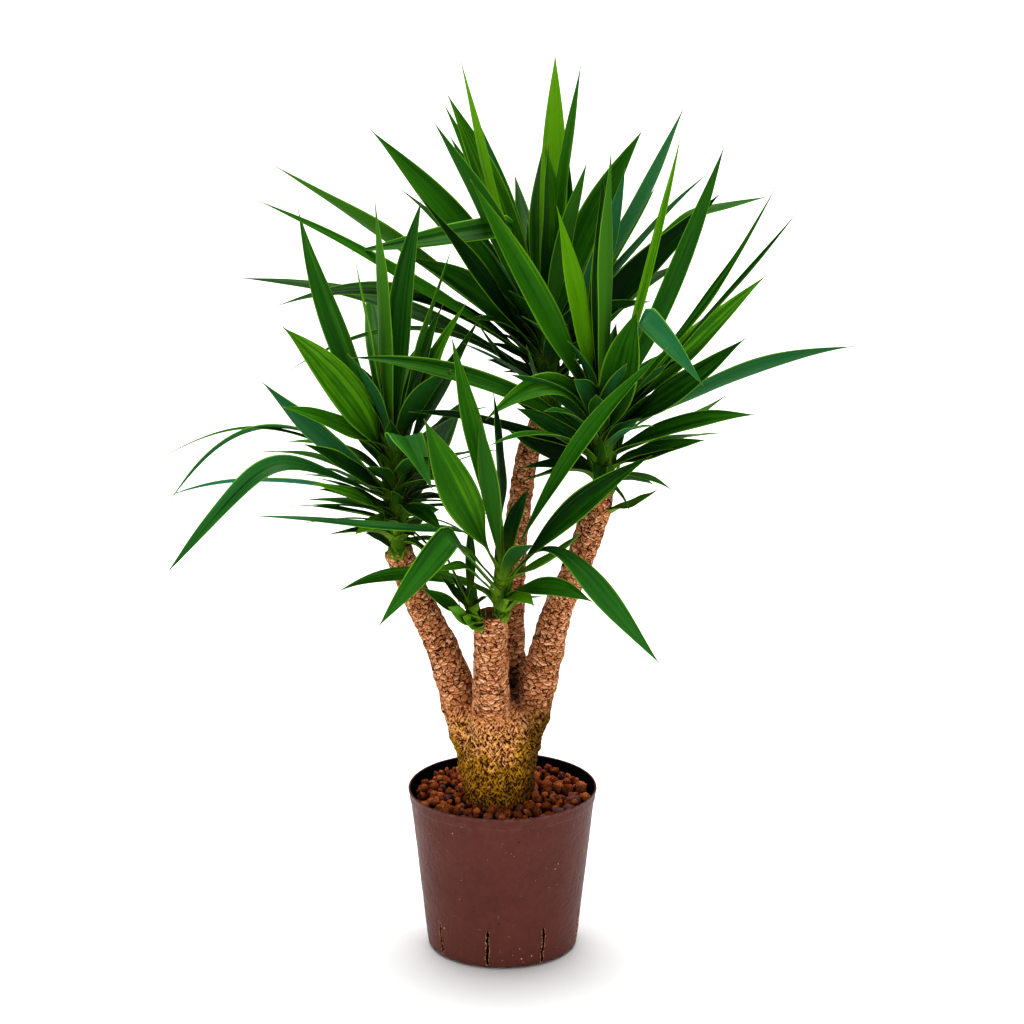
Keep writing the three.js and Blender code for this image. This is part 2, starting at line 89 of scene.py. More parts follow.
# Blades: share of the stem from foot to crown in per cent, heading and lift in degrees, reach, width,
# bow upwards, twist in degrees, tone from 0 old and dark to 1 young and bright, which is partly the
# blade's age and partly painted shade on blades that stand in shade and painted light on lit ones, and
# share of blue-green streaks that are partly wax and partly painted sheen.
# Heading 0 is right, 90 away, 180 left, 270 towards the front.
LEFT_BLADES = [
    [80, 158, 68, 310, 28, -11, -50, .5, .2],
    [70, 205, 54, 230, 43, 14, -80, .7, 0],
    [90, 224, 77, 240, 22, 0, -45, 1, 0],
    [90, 230, 85, 300, 26, 0, -8, 1, 0],
    [90, 36, 82, 290, 30, 12, 35, .35, .15],
    [55, 184, 41, 200, 32, -7, 58, .2, .35],
    [92, 208, 26, 154, 27, 5, -45, .5, 0],
    [50, 172, 7, 279, 9, 56, -5, .2, 0],
    [40, 168, -1, 277, 19, 25, 30, .4, .9],
    [50, 234, 31, 190, 28, 3, -58, 0, 0],
    [60, 166, 18, 135, 22, 18, 0, .5, 0],
    [50, 151, 8, 190, 22, 16, 0, .25, 0],
    [30, 225, 27, 145, 24, 6, -30, .7, 0],
    [30, 148, 0, 130, 20, 7, 0, .5, 0],
    [25, 199, 16, 105, 20, 4, 0, .3, 0],
    [45, 298, -3, 115, 24, 7, 15, .3, 0],
    [90, 18, 70, 180, 28, 6, 20, .3, 0],
    [80, 2, 66, 205, 28, 7, 30, .65, 0],
    [70, 15, 60, 205, 28, 3, -60, 0, 0],
    [90, 335, 73, 255, 24, 4, 10, .65, 0],
    [35, 244, 0, 100, 20, 1, -20, .9, 0],
    [55, 315, 15, 100, 20, 10, 0, .4, 0],
    [60, 171, -7, 271, 17, 79, 24, .5, .35],
    [45, 33, 5, 73, 12, 6, 0, .1, 0],
    [30, 32, -2, 91, 12, 8, 0, 0, 0],
    [35, 340, 19, 67, 22, 8, 0, 0, 0],
    [15, 350, -49, 112, 20, 12, 0, 0, 0],
    [40, 325, 8, 118, 3.5, 9, 0, .1, 0],
    [30, 345, -14, 104, 3, 12, 0, 0, 0],
    [48, 12, 24, 126, 3.5, 8, 0, .1, 0],
    [25, 318, -34, 98, 3, 12, 0, 0, 0],
    [42, 338, -3, 132, 3, 14, 0, .05, 0],
    [34, 190, 6, 128, 4, 6, 0, .45, .3],
    [26, 194, 3, 112, 3.5, 5, 0, .5, .2],
]
FRONT_BLADES = [
    [80, 217, 61, 225, 44, -3, -105, .48, 0],
    [90, 185, 78, 275, 26, 2, -60, .5, 0],
    [90, 254, 66, 215, 24, -6, 0, .45, 0],
    [100, 219, 86, 200, 30, 4, -60, 0, 0],
    [70, 340, 56, 345, 21, 17, 70, .35, 0],
    [50, 332, 44, 260, 32, 13, 60, .15, 0],
    [40, 313, 10, 150, 26, 12, 40, .3, 0],
    [70, 347, 33, 110, 26, -8, 15, .7, 0],
    [30, 168, -1, 190, 22, 25, -30, .55, .1],
    [30, 302, 9, 70, 22, 9, 30, .9, 0],
]
SMALL_BLADES = [
    [60, 225, 32, 100, 22, -2, -50, .35, 0],
    [90, 206, 64, 85, 11, 1, -30, .1, 0],
    [100, 300, 30, 45, 10, 0, 45, .3, 0],
    [100, 90, 76, 100, 12, 1, 0, .2, 0],
    [70, 206, 50, 65, 12, 1, -50, 0, 0],
    [40, 249, 26, 95, 22, -3, -65, 1, .5],
    [30, 253, 24, 60, 18, -4, -65, 1, 0],
    [50, 150, 53, 58, 11, 3, 0, 0, 0],
    [90, 281, 58, 42, 10, 2, 0, .25, 0],
    [30, 130, 52, 53, 9, 3, 0, 0, 0],
]
RIGHT_BLADES = [
    [80, 30, 62, 340, 23, -12, 45, .42, .25],
    [90, 346, 75, 335, 16, -8, 50, .8, 0],
    [80, 348, 55, 340, 26, -12, 20, .2, 0],
    [70, 12, 47, 330, 24, -4, -10, .1, 0],
    [70, 20, 39, 260, 35, 3, 30, .6, 0],
    [60, 335, 38, 220, 34, -2, 55, .2, 0],
    [50, 9, 20, 310, 28, 22, -55, .35, .3],
    [40, 331, 21, 205, 28, 11, 38, .3, 0],
    [25, 339, 20, 130, 26, 4, 35, .35, 0],
    [15, 349, -9, 80, 14, 9, 5, .5, 0],
    [-22, 321, 24, 81, 20, -6, 25, .8, 0],
    [50, 198, 17, 145, 30, 58, -45, .45, 0],
    [80, 195, 62, 325, 34, 5, -65, .5, 0],
    [90, 181, 78, 245, 28, 2, -50, 1, 0],
    [100, 279, 81, 310, 21, -6, 25, .8, 0],
    [100, 97, 83, 205, 26, 1, -5, .2, 0],
    [95, 87, 89, 270, 22, 0, 0, .15, 0],
    [35, 187, 16, 230, 24, 11, -10, 0, 0],
    [30, 222, 17, 180, 22, 24, 0, .3, 0],
    [20, 155, 18, 135, 30, -2, -35, 0, 0],
    [15, 206, 12, 105, 22, 9, -15, 0, 0],
    [40, 133, 13, 150, 30, 12, -30, .3, 0],
    [50, 185, 21, 305, 26, 27, -40, .3, 0],
    [50, 292, 23, 155, 15, 8, 10, .4, .6],
    [60, 67, 35, 180, 28, 20, 15, .3, 0],
    [45, 295, 65, 200, 44, 4, 140, .3, 0],
]
BACK_BLADES = [
    [60, 176, 36, 385, 30, 12, 46, .8, 0],
    [55, 189, 32, 390, 28, 8, -20, .4, 0],
    [40, 195, 42, 220, 36, 24, -60, .25, 0],
    [30, 171, 17, 380, 28, 28, -25, .15, 0],
    [25, 186, 18, 330, 28, 60, -28, .15, 0],
    [15, 181, 5, 305, 22, 62, 0, .1, 0],
    [80, 158, 48, 325, 36, 14, -50, .35, 0],
    [60, 227, 48, 310, 30, 1, -70, 0, 0],
    [90, 213, 62, 310, 30, 11, 35, .4, 0],
    [90, 141, 61, 300, 26, 6, -10, .4, 0],
    [90, 169, 69, 305, 36, 8, -60, .6, 0],
    [100, 190, 74, 335, 26, -8, -32, 1, 0],
    [90, 133, 66, 276, 30, 0, -38, .45, 1],
    [100, 74, 80, 320, 32, -24, 10, 1, 0],
    [100, 349, 82, 320, 26, 1, 45, .5, 0],
    [95, 180, 91, 227, 31, 11, -64, .62, 0],
    [90, 276, 76, 250, 28, 5, 70, 0, 0],
    [90, 73, 66, 240, 28, -30, 10, .35, 0],
    [80, 32, 61, 275, 34, 14, 45, .4, 0],
    [90, 298, 66, 250, 24, 4, 0, .6, 0],
    [80, 4, 60, 320, 28, -10, -48, .7, .5],
    [70, 342, 67, 245, 28, -15, -50, .5, .5],
    [70, 40, 46, 245, 24, -4, 5, .4, 0],
    [50, 351, 47, 290, 36, 3, 60, 0, 0],
    [60, 23, 45, 290, 28, 10, -45, .2, .3],
    [30, 258, 31, 145, 22, -13, -60, 0, 0],
    [20, 222, 41, 145, 24, -10, -10, 0, 0],
    [12, 227, 31, 170, 22, 5, -10, 0, 0],
]

# Creased blades: share of the stem, width, twist, heading, lift and length of the stretch before the
# crease, the same of the stretch that hangs from it, tone, share of wax and painted sheen, and the
# length of the bend.
LEFT_CREASED = [
    [90, 42, -7, [280, 27, 89], [305, -39, 78], .5, .35, 12],
    [45, 24, -38, [198, 26, 162], [196, -47, 181], .38, .6, 190],
]
FRONT_CREASED = [
    [60, 31, 20, [335, 53, 89], [321, -38, 204], .45, .3, 230],
    [40, 31, -40, [234, 43, 134], [216, -42, 127], .3, .1, 24],
    [45, 19, -10, [218, 47, 115], [167, 1, 230], .25, .35, 40],
    [55, 20, -10, [205, 47, 60], [197, 31, 40], .5, 0, 25],
    [35, 20, -15, [222, 40, 75], [209, 1, 40], .6, 0, 25],
]
RIGHT_CREASED = [
    [75, 30, 35, [318, 66, 150], [320, -37, 107], .4, .9, 12],
    [35, 22, 0, [37, 10, 130], [35, 25, 60], .6, .3, 30],
]
BACK_CREASED = [
    [80, 34, -35, [234, 68, 165], [171, -10, 190], .25, 0, 22],
    [50, 28, 18, [10, 46, 245], [19, 8, 95], .3, 0, 60],
]

# Leafy shoots: the node that each stands for, the foot on its cane, the crown, the stem's radius, how
# many more blades fill the far side, over a sweep of headings and of lifts, how many short ones crowd
# round the stem, how slender the blades' lower ends are, the size of the clasping feet, and how far the
# stem's lower end leans forward over its cane's edge
SHOOTS = [
    dict(name="left_shoot", node="head_left", foot=(-120, 25, 478), crown=(-125, 15, 612), radius=9,
         blades=LEFT_BLADES, creased=LEFT_CREASED, more=5, fill=34, sweep=(72, 112), lifts=(8, 38),
         waist=1.3, feet=1.0, lean=9),
    dict(name="front_shoot", node="head_front", foot=(-1, -56, 424), crown=(1, -66, 494), radius=7,
         blades=FRONT_BLADES, creased=FRONT_CREASED, more=0, fill=4, sweep=(0, 0), lifts=(0, 0),
         waist=2.2, feet=0.75, lean=0),
    dict(name="small_front_shoot", node="head_front_small", foot=(-25, -61, 410), crown=(-36, -74, 442),
         radius=5, blades=SMALL_BLADES, creased=[], more=0, fill=0, sweep=(0, 0), lifts=(0, 0),
         waist=1.3, feet=0.5, lean=0),
    dict(name="right_shoot", node="head_right", foot=(116, -15, 564), crown=(111, -20, 663), radius=10,
         blades=RIGHT_BLADES, creased=RIGHT_CREASED, more=6, fill=26, sweep=(55, 106), lifts=(-4, 8),
         waist=1.4, feet=1.0, lean=6),
    dict(name="back_shoot", node="head_back", foot=(57, 95, 636), crown=(45, 88, 718), radius=9.5,
         blades=BACK_BLADES, creased=BACK_CREASED, more=8, fill=34, sweep=(40, 150), lifts=(18, 65),
         waist=1.3, feet=1.0, lean=4),
]


# Settings that a user may change


def size_setting(name, description, default):
    return FloatProperty(name=name, description=description, default=default, subtype="DISTANCE")


def colour_setting(name, description, default):
    return FloatVectorProperty(name=name, description=description, default=default, size=3,
                               subtype="COLOR")


class PotSettings(bpy.types.PropertyGroup):
    height: size_setting("Height", "Height of the grow pot", POT_HIGH.z)
    rim_radius: size_setting("Rim radius", "Outer radius of the rim", POT_HIGH.x)
    foot_radius: size_setting("Foot radius", "Outer radius at the floor", 0.0877)
    wall: size_setting("Wall", "Thickness of the plastic", 0.002)
    collar: size_setting("Collar", "Height of the band under the rim", 0.014)
    colour: colour_setting("Plastic", "Colour of the plastic", (0.104, 0.0325, 0.0242))


class GranuleSettings(bpy.types.PropertyGroup):
    fill: size_setting("Fill level", "Height of the topmost granules", 0.1925)
    smallest: size_setting("Smallest", "Radius of the smallest granules", 0.003)
    largest: size_setting("Largest", "Radius of the largest granules", 0.0098)
    seed: IntProperty(name="Seed", description="Changes how the granules lie", default=5)
    colour: colour_setting("Baked clay", "Main colour of the granules", (0.5, 0.125, 0.032))


class TrunkSettings(bpy.types.PropertyGroup):
    detail: size_setting("Detail", "Edge length of the bark's mesh", 0.0016)
    scar_pitch: size_setting("Scar pitch", "Distance between rows of leaf scars", 0.0068)
    groove: size_setting("Groove", "Depth of the cracks between scars", 0.0008)
    bark: colour_setting("Bark", "Colour of weathered bark", (0.63, 0.236, 0.092))
    # The lightest bark colour, which also paints the highlights on the plates' upper edges and the glints
    plates: colour_setting("Plates", "Colour of the scars' raised edges", (1.0, 0.6, 0.345))
    moss: colour_setting("Moss", "Colour of the green growth low on the stump", (0.268, 0.106, 0.0012))


class LeafSettings(bpy.types.PropertyGroup):
    stations: IntProperty(
        name="Stations", description="Rows of points along a blade", default=44, min=12, max=80)
    across: IntProperty(
        name="Points across", description="Points across one face of a blade", default=11, min=5, max=21)
    # The old green also paints the shade on blades that stand in shade
    old_and_shaded_green: colour_setting("Old green", "Upper face of an old blade", (0.003, 0.024, 0.0018))
    ripe_green: colour_setting("Ripe green", "Upper face of a grown blade", (0.024, 0.122, 0.003))
    young_green: colour_setting("Young green", "Upper face of a young blade", (0.125, 0.33, 0.004))
    underside: colour_setting("Underside", "Lower face of a blade", (0.016, 0.085, 0.006))
    # Blue-green of the streaks, which are partly wax bloom and partly painted sheen
    wax_and_sheen: colour_setting("Wax", "Blue-green bloom on some blades", (0.018, 0.15, 0.085))
    margin: colour_setting("Margin", "Thin light edge of a blade", (0.17, 0.36, 0.016))
    seed: IntProperty(name="Seed", description="Changes the blades' small waves", default=3)


class StageSettings(bpy.types.PropertyGroup):
    distance: size_setting("Camera distance", "Distance of the camera in front of the pot", 4.0)
    height: size_setting("Camera height", "Height of the camera over the floor", 1.737)
    pitch: FloatProperty(
        name="Camera pitch", description="How far the camera looks down", default=math.radians(16.782),
        subtype="ANGLE")
    lens: FloatProperty(
        name="Lens", description="Focal length on a 36 mm sensor", default=128.05, unit="CAMERA")
    key: FloatProperty(
        name="Key light", description="Strength of the large soft light overhead", default=4.7)
    fill: FloatProperty(name="Fill light", description="Strength of the soft side lights", default=1.15)
    sky: FloatProperty(name="Sky", description="Strength of the even light around", default=0.18)


SETTINGS = {
    "yucca_pot": PotSettings,
    "yucca_granules": GranuleSettings,
    "yucca_trunk": TrunkSettings,
    "yucca_leaves": LeafSettings,
    "yucca_stage": StageSettings,
}


# Meshes


def smooth(x):
    """A share that starts and ends gently, held between 0 and 1."""
    x = np.clip(x, 0, 1)
    return x * x * (3 - 2 * x)


def unit(vectors):
    """Vectors of length 1."""
    return vectors / np.linalg.norm(vectors, axis=-1, keepdims=True)


def repeatable(seed):
    """A run of numbers from 0 to 1 that is the same on every machine."""
    state = seed
    while True:
        state = (state * 1664525 + 1013904223) % 2 ** 32
        yield state / 2 ** 32


def noise_at(points, size, depth=3, seed=0.0):
    """Fractal noise about 0 at each point, with lumps of the given size."""
    shift = Vector((seed * 13.7, seed * 7.3, seed * 3.1))
    return np.array([noise.fractal(Vector(p) / size + shift, 0.9, 2.1, depth) for p in points])


def run_along(line):
    """Distance from a line's start to each of its points."""
    return np.concatenate([[0], np.cumsum(np.linalg.norm(np.diff(line, axis=0), axis=1))])


def search_tree(points):
    """A tree that finds the nearest of the points."""
    tree = kdtree.KDTree(len(points))
    for i, point in enumerate(points):
        tree.insert(point, i)
    tree.balance()
    return tree


def ring_faces(rings, count):
    """Quads over rings of equal count, with a cap at both ends."""
    r = np.arange(rings - 1)[:, None] * count
    j = np.arange(count)[None, :]
    k = (j + 1) % count
    quads = np.stack([r + j, r + k, r + k + count, r + j + count], axis=-1).reshape(-1, 4)
    first = list(reversed(range(count)))
    last = [(rings - 1) * count + i for i in range(count)]
    return quads.tolist() + [first, last]


def turned_profile(profile, sides):
    """Rings of points round the upright axis, one for each step of a profile, and the points' angles."""
    angles = np.arange(sides) * 2 * math.pi / sides
    ring = np.stack([np.cos(angles), np.sin(angles)], axis=-1)
    points = np.zeros((len(profile), sides, 3))
    points[..., :2] = profile[:, None, :1] * ring[None]
    points[..., 2] = profile[:, None, 1]
    return points, angles


def joined(parts):
    """The points and faces of several meshes as those of one."""
    points, faces = [], []
    start = 0
    for part_points, part_faces in parts:
        points.append(part_points)
        faces += [[i + start for i in face] for face in part_faces]
        start += len(part_points)
    return np.vstack(points), faces


def new_object(name, points, faces):
    """A bare mesh object in the scene."""
    mesh = bpy.data.meshes.new(name)
    mesh.from_pydata(np.asarray(points).tolist(), [], faces)
    made = bpy.data.objects.new(name, mesh)
    bpy.context.scene.collection.objects.link(made)
    return made


def add_piece(name, points, faces, material, attributes=()):
    """A mesh object with smooth faces, one material and named vectors on its points."""
    piece = new_object(name, points, faces)
    mesh = piece.data
    for label, values in dict(attributes).items():
        layer = mesh.attributes.new(label, "FLOAT_VECTOR", "POINT")
        layer.data.foreach_set("vector", np.asarray(values, np.float32).ravel())
    mesh.validate()
    mesh.update()
    mesh.shade_smooth()
    mesh.materials.append(material)
    return piece


def apply_modifiers(made):
    """Puts the shape that an object's modifiers give it in place of its mesh."""
    graph = bpy.context.evaluated_depsgraph_get()
    finished = bpy.data.meshes.new_from_object(made.evaluated_get(graph))
    old = made.data
    made.modifiers.clear()
    made.data = finished
    bpy.data.meshes.remove(old)


def discard(made):
    """Removes an object and its mesh."""
    mesh = made.data
    bpy.data.objects.remove(made)
    bpy.data.meshes.remove(mesh)


def taken_apart(made):
    """Points, normals and faces of an object, which is then removed."""
    found = []
    for items, label in ((made.data.vertices, "co"), (made.data.vertex_normals, "vector")):
        flat = np.empty(len(items) * 3, np.float32)
        items.foreach_get(label, flat)
        found.append(flat.reshape(-1, 3).astype(float))
    faces = [list(face.vertices) for face in made.data.polygons]
    discard(made)
    return *found, faces


# Material nodes


def feed(tree, socket, value):
    """Links a socket to another, or sets it to a plain value."""
    if isinstance(value, bpy.types.NodeSocket):
        tree.links.new(value, socket)
    elif value is not None:
        socket.default_value = value


def add_node(tree, kind, inputs=(), **settings):
    """A node of a kind, with its settings and with values or links for its inputs."""
    node = tree.nodes.new(kind)
    for key, value in settings.items():
        setattr(node, key, value)
    for key, value in dict(inputs).items():
        feed(tree, node.inputs[key], value)
    return node


def mixed(tree, share, low, high):
    """Two colours mixed by a share."""
    node = add_node(tree, "ShaderNodeMix", data_type="RGBA")
    for slot, value in ((0, share), (6, low), (7, high)):
        feed(tree, node.inputs[slot], (*value, 1) if isinstance(value, tuple) else value)
    return node.outputs[2]


def blended(tree, share, low, high):
    """Two values mixed by a share."""
    return add_node(tree, "ShaderNodeMix", {0: share, 2: low, 3: high}, data_type="FLOAT").outputs[0]


def three_tones(tree, value, dark, middle, light):
    """A colour that runs from dark over middle to light."""
    low = mixed(tree, ranged(tree, value, 0.0, 0.5), dark, middle)
    return mixed(tree, ranged(tree, value, 0.5, 1.0), low, light)


def tinted(colour, *factors):
    """A colour times one factor, or times one for each of red, green and blue."""
    return tuple(np.multiply(tuple(colour), factors).tolist())


def calculated(tree, operation, *values):
    """The outcome of a sum on values that change over the surface."""
    return add_node(tree, "ShaderNodeMath", dict(enumerate(values)), operation=operation).outputs[0]


def times(tree, *values):
    return calculated(tree, "MULTIPLY", *values)


def plus(tree, *values):
    return calculated(tree, "ADD", *values)


def minus(tree, *values):
    return calculated(tree, "SUBTRACT", *values)


def ranged(tree, value, low, high, to_low=0.0, to_high=1.0):
    """A value eased from one range to another."""
    node = add_node(
        tree, "ShaderNodeMapRange", {"Value": value, "From Min": low, "From Max": high, "To Min": to_low,
                                     "To Max": to_high}, interpolation_type="SMOOTHSTEP")
    return node.outputs["Result"]


def stretched(tree, vector, scale):
    """Coordinates scaled along the three axes."""
    return add_node(tree, "ShaderNodeMapping", {"Vector": vector, "Scale": scale}).outputs[0]


def speckle(tree, vector, scale, detail=3.0, roughness=0.5, distortion=0.0):
    """A cloudy pattern from 0 to 1."""
    node = add_node(tree, "ShaderNodeTexNoise", {
        "Vector": vector, "Scale": scale, "Detail": detail, "Roughness": roughness,
        "Distortion": distortion})
    return node.outputs["Fac"]


def cells(tree, vector, scale, feature="F1"):
    """Distance to the nearest of scattered points, or to the edge between two cells."""
    node = add_node(tree, "ShaderNodeTexVoronoi", {"Vector": vector, "Scale": scale}, feature=feature)
    return node.outputs["Distance"]


def scattered(tree, place, spots, patches):
    """Share of small round spots, kept in patches.

    The spots are given by their scale and the distances of their edge and core, and the patches by the
    scale, detail and range of a noise.
    """
    scale, edge, core = spots
    broad, detail, low, high = patches
    kept = ranged(tree, speckle(tree, place, broad, detail, 0.5), low, high)
    return times(tree, ranged(tree, cells(tree, place, scale), edge, core), kept)


def raised(tree, height, distance, strength=1.0, under=None):
    """A bump of the surface, on top of another one if that is given."""
    node = add_node(tree, "ShaderNodeBump", {
        "Height": height, "Distance": distance, "Strength": strength, "Normal": under})
    return node.outputs[0]


def split(tree, label):
    """The three numbers of a named vector on the points."""
    source = add_node(tree, "ShaderNodeAttribute", attribute_name=label)
    parts = add_node(tree, "ShaderNodeSeparateXYZ", {"Vector": source.outputs["Vector"]})
    return parts.outputs


def new_finish(name, roughness=0.5, specular=0.5):
    """A material with its surface shader, and the object's own coordinates."""
    material = bpy.data.materials.new(name)
    material.use_nodes = True
    tree = material.node_tree
    surface = tree.nodes["Principled BSDF"]
    surface.inputs["Roughness"].default_value = roughness
    surface.inputs["Specular IOR Level"].default_value = specular
    place = add_node(tree, "ShaderNodeTexCoord").outputs["Object"]
    return material, tree, surface, place


# Finishes


def plastic_finish(settings):
    """Grow pot plastic: fine mottling, pits, dust, rub marks, torn slit edges, painted sheen on the rim,
    collar and sides, painted light low on the wall, and painted shade inside and along the foot.
    """
    material, tree, surface, place = new_finish("grow_pot_plastic", specular=0.3)
    torn, painted_shade, painted_sheen = split(tree, "pot_wear")
    colour = tuple(settings.colour)
    broad = speckle(tree, place, 26, 3, 0.6)
    mottle = speckle(tree, place, 120, 3, 0.65)
    fine = speckle(tree, place, 520, 2, 0.6)
    shade = mixed(tree, ranged(tree, broad, 0.3, 0.7), tinted(colour, 0.93), tinted(colour, 1.07))
    shade = mixed(tree, ranged(tree, mottle, 0.35, 0.7, 0, 0.35), shade, tinted(colour, 1.45))
    shade = mixed(tree, ranged(tree, fine, 0.35, 0.2, 0, 0.5), shade, tinted(colour, 0.6))
    # Painted light: the lowest part of the wall is painted lighter, standing in for light thrown up from
    # the floor
    low = add_node(tree, "ShaderNodeSeparateXYZ", {"Vector": place}).outputs["Z"]
    shade = mixed(tree, ranged(tree, low, 0.1, 0.0, 0, 0.34), shade, tinted(colour, 1.7))
    # Painted sheen: a grey haze on the rim, collar and left and right sides, standing in for the bright
    # surroundings reflected by the plastic
    painted_sheen_share = times(tree, painted_sheen, ranged(tree, mottle, 0.4, 0.62, 0, 0.28))
    shade = mixed(tree, painted_sheen_share, shade, (0.24, 0.14, 0.13))
    flecks = scattered(tree, place, (230, 0.16, 0.08), (75, 1, 0.64, 0.68))
    shade = mixed(tree, flecks, shade, (0.34, 0.26, 0.24))
    dust = scattered(tree, place, (95, 0.12, 0.05), (33, 2, 0.6, 0.64))
    shade = mixed(tree, dust, shade, (0.55, 0.5, 0.48))
    pits = scattered(tree, place, (130, 0.13, 0.06), (21, 2, 0.46, 0.54))
    shade = mixed(tree, pits, shade, tinted(colour, 0.4))
    rubs = speckle(tree, stretched(tree, place, (1, 1, 0.16)), 240, 3, 0.7, 0.6)
    shade = mixed(tree, ranged(tree, rubs, 0.64, 0.74, 0, 0.3), shade, (0.3, 0.2, 0.18))
    frayed = mixed(tree, ranged(tree, fine, 0.42, 0.58), (0.12, 0.03, 0.012), (0.62, 0.33, 0.18))
    shade = mixed(tree, torn, shade, frayed)
    # Painted shade: the inner wall and the foot are painted nearly black
    shade = mixed(tree, painted_shade, shade, (0.006, 0.003, 0.003))
    feed(tree, surface.inputs["Base Color"], shade)
    shine = times(tree, minus(tree, 1.0, painted_shade), 0.1)
    feed(tree, surface.inputs["Specular IOR Level"], shine)
    feed(tree, surface.inputs["Roughness"], ranged(tree, mottle, 0.3, 0.7, 0.36, 0.52))
    lumps = raised(tree, speckle(tree, place, 170, 3, 0.62), 0.0022, 0.6)
    grain = raised(tree, fine, 0.0005, 0.4, lumps)
    feed(tree, surface.inputs["Normal"], raised(tree, pits, -0.0008, 0.8, grain))
    return material


def clay_finish(settings):
    """Baked clay: each granule has its own tint, with hollows, pores and a dusty, rough skin, and painted
    shade deep between the granules, in their craters and over the packed filling.
    """
    material, tree, surface, place = new_finish("baked_clay", roughness=0.95, specular=0.15)
    own, worn, painted_gap_shade = split(tree, "granule_kind")
    colour = tuple(settings.colour)
    tint = mixed(tree, ranged(tree, own, 0.1, 0.5), tinted(colour, 0.66), colour)
    tint = mixed(tree, ranged(tree, own, 0.5, 0.9), tint, (0.8, 0.25, 0.075))
    patch = speckle(tree, place, 150, 3, 0.6)
    ashen = times(tree, ranged(tree, worn, 0.88, 0.92), ranged(tree, patch, 0.35, 0.6, 0.3, 1))
    tint = mixed(tree, ashen, tint, (0.24, 0.12, 0.14))
    tint = mixed(tree, ranged(tree, patch, 0.58, 0.7, 0, 0.55), tint, (0.2, 0.08, 0.07))
    grain = speckle(tree, place, 520, 4, 0.7)
    tint = mixed(tree, ranged(tree, grain, 0.32, 0.7), mixed(tree, 0.6, tint, (0.04, 0.012, 0.006)), tint)
    hollows = ranged(tree, cells(tree, place, 210), 0.27, 0.13)
    hollows = times(tree, hollows, ranged(tree, patch, 0.44, 0.52))
    pores = calculated(tree, "MAXIMUM", ranged(tree, cells(tree, place, 480), 0.3, 0.12), hollows)
    tint = mixed(tree, times(tree, pores, 0.85), tint, (0.022, 0.008, 0.005))
    # Painted shade: deep gaps between granules, crater floors and the packed filling are painted nearly
    # black
    tint = mixed(tree, painted_gap_shade, tint, (0.006, 0.0025, 0.0015))
    feed(tree, surface.inputs["Base Color"], tint)
    bumps = raised(tree, grain, 0.0012, 0.9)
    feed(tree, surface.inputs["Normal"], raised(tree, pores, -0.0013, 0.8, bumps))
    return material


# Lean in degrees and scale along the three axes of the short strokes that cross on the stump
STROKES = [(36, (520, 520, 120)), (-33, (480, 480, 110))]


def bark_finish(settings):
    """Bark: rings of plates with painted highlights on their upper edges and thin cracks, strokes and moss
    on the stump, and painted shade on the shaded canes, the stump's right side and the fork.
    """
    material, tree, surface, place = new_finish("yucca_bark", roughness=0.85, specular=0.12)
    knobbly, crack, cut = split(tree, "bark_kind")
    moss_share, shade_share, plate_tone = split(tree, "bark_tint")
    unrolled = add_node(tree, "ShaderNodeAttribute", attribute_name="bark_place").outputs["Vector"]
    bark, pale, moss = tuple(settings.bark), tuple(settings.plates), tuple(settings.moss)
    fine = speckle(tree, place, 560, 3, 0.7)
    blotch = speckle(tree, place, 48, 3, 0.6)
    plates, plate_height = plate_tones(tree, unrolled)
    strokes = stroke_tones(tree, place)
    tone = blended(tree, knobbly, plates, ranged(tree, strokes, 0.0, 1.0, -0.16, 0.98))
    tone = plus(tree, tone, ranged(tree, fine, 0.3, 0.7, -0.12, 0.12))
    tone = plus(tree, tone, ranged(tree, plate_tone, 0.0, 1.0, -0.06, 0.06))
    tone = minus(tree, tone, times(tree, crack, 0.12))
    middle = mixed(tree, knobbly, bark, tinted(bark, 0.95, 0.92, 0.72))
    light = mixed(tree, knobbly, pale, tinted(pale, 0.98, 0.85, 0.5))
    woody = three_tones(tree, tone, (0.04, 0.009, 0.0025), middle, light)
    mossy = three_tones(tree, ranged(tree, tone, 0.0, 1.0, 0.1, 0.86), (0.02, 0.008, 0.001), moss,
                        (0.64, 0.335, 0.014))
    growth = plus(tree, moss_share, ranged(tree, blotch, 0.3, 0.7, -0.4, 0.4))
    tufts = speckle(tree, place, 190, 2, 0.6)
    growth = plus(tree, growth, ranged(tree, tufts, 0.3, 0.7, -0.35, 0.35))
    shade = mixed(tree, ranged(tree, growth, 0.45, 0.8, 0, 0.93), woody, mossy)
    shade = mixed(tree, shade_share, shade, mixed(tree, 0.88, shade, (0.02, 0.006, 0.002)))
    shade = mixed(tree, cut, shade, mixed(tree, fine, (0.1, 0.035, 0.012), (0.3, 0.12, 0.05)))
    feed(tree, surface.inputs["Base Color"], shade)
    skin = raised(tree, fine, 0.0009, 0.7)
    height = blended(tree, knobbly, plate_height, strokes)
    feed(tree, surface.inputs["Normal"], raised(tree, height, 0.0016, 0.9, skin))
    return material


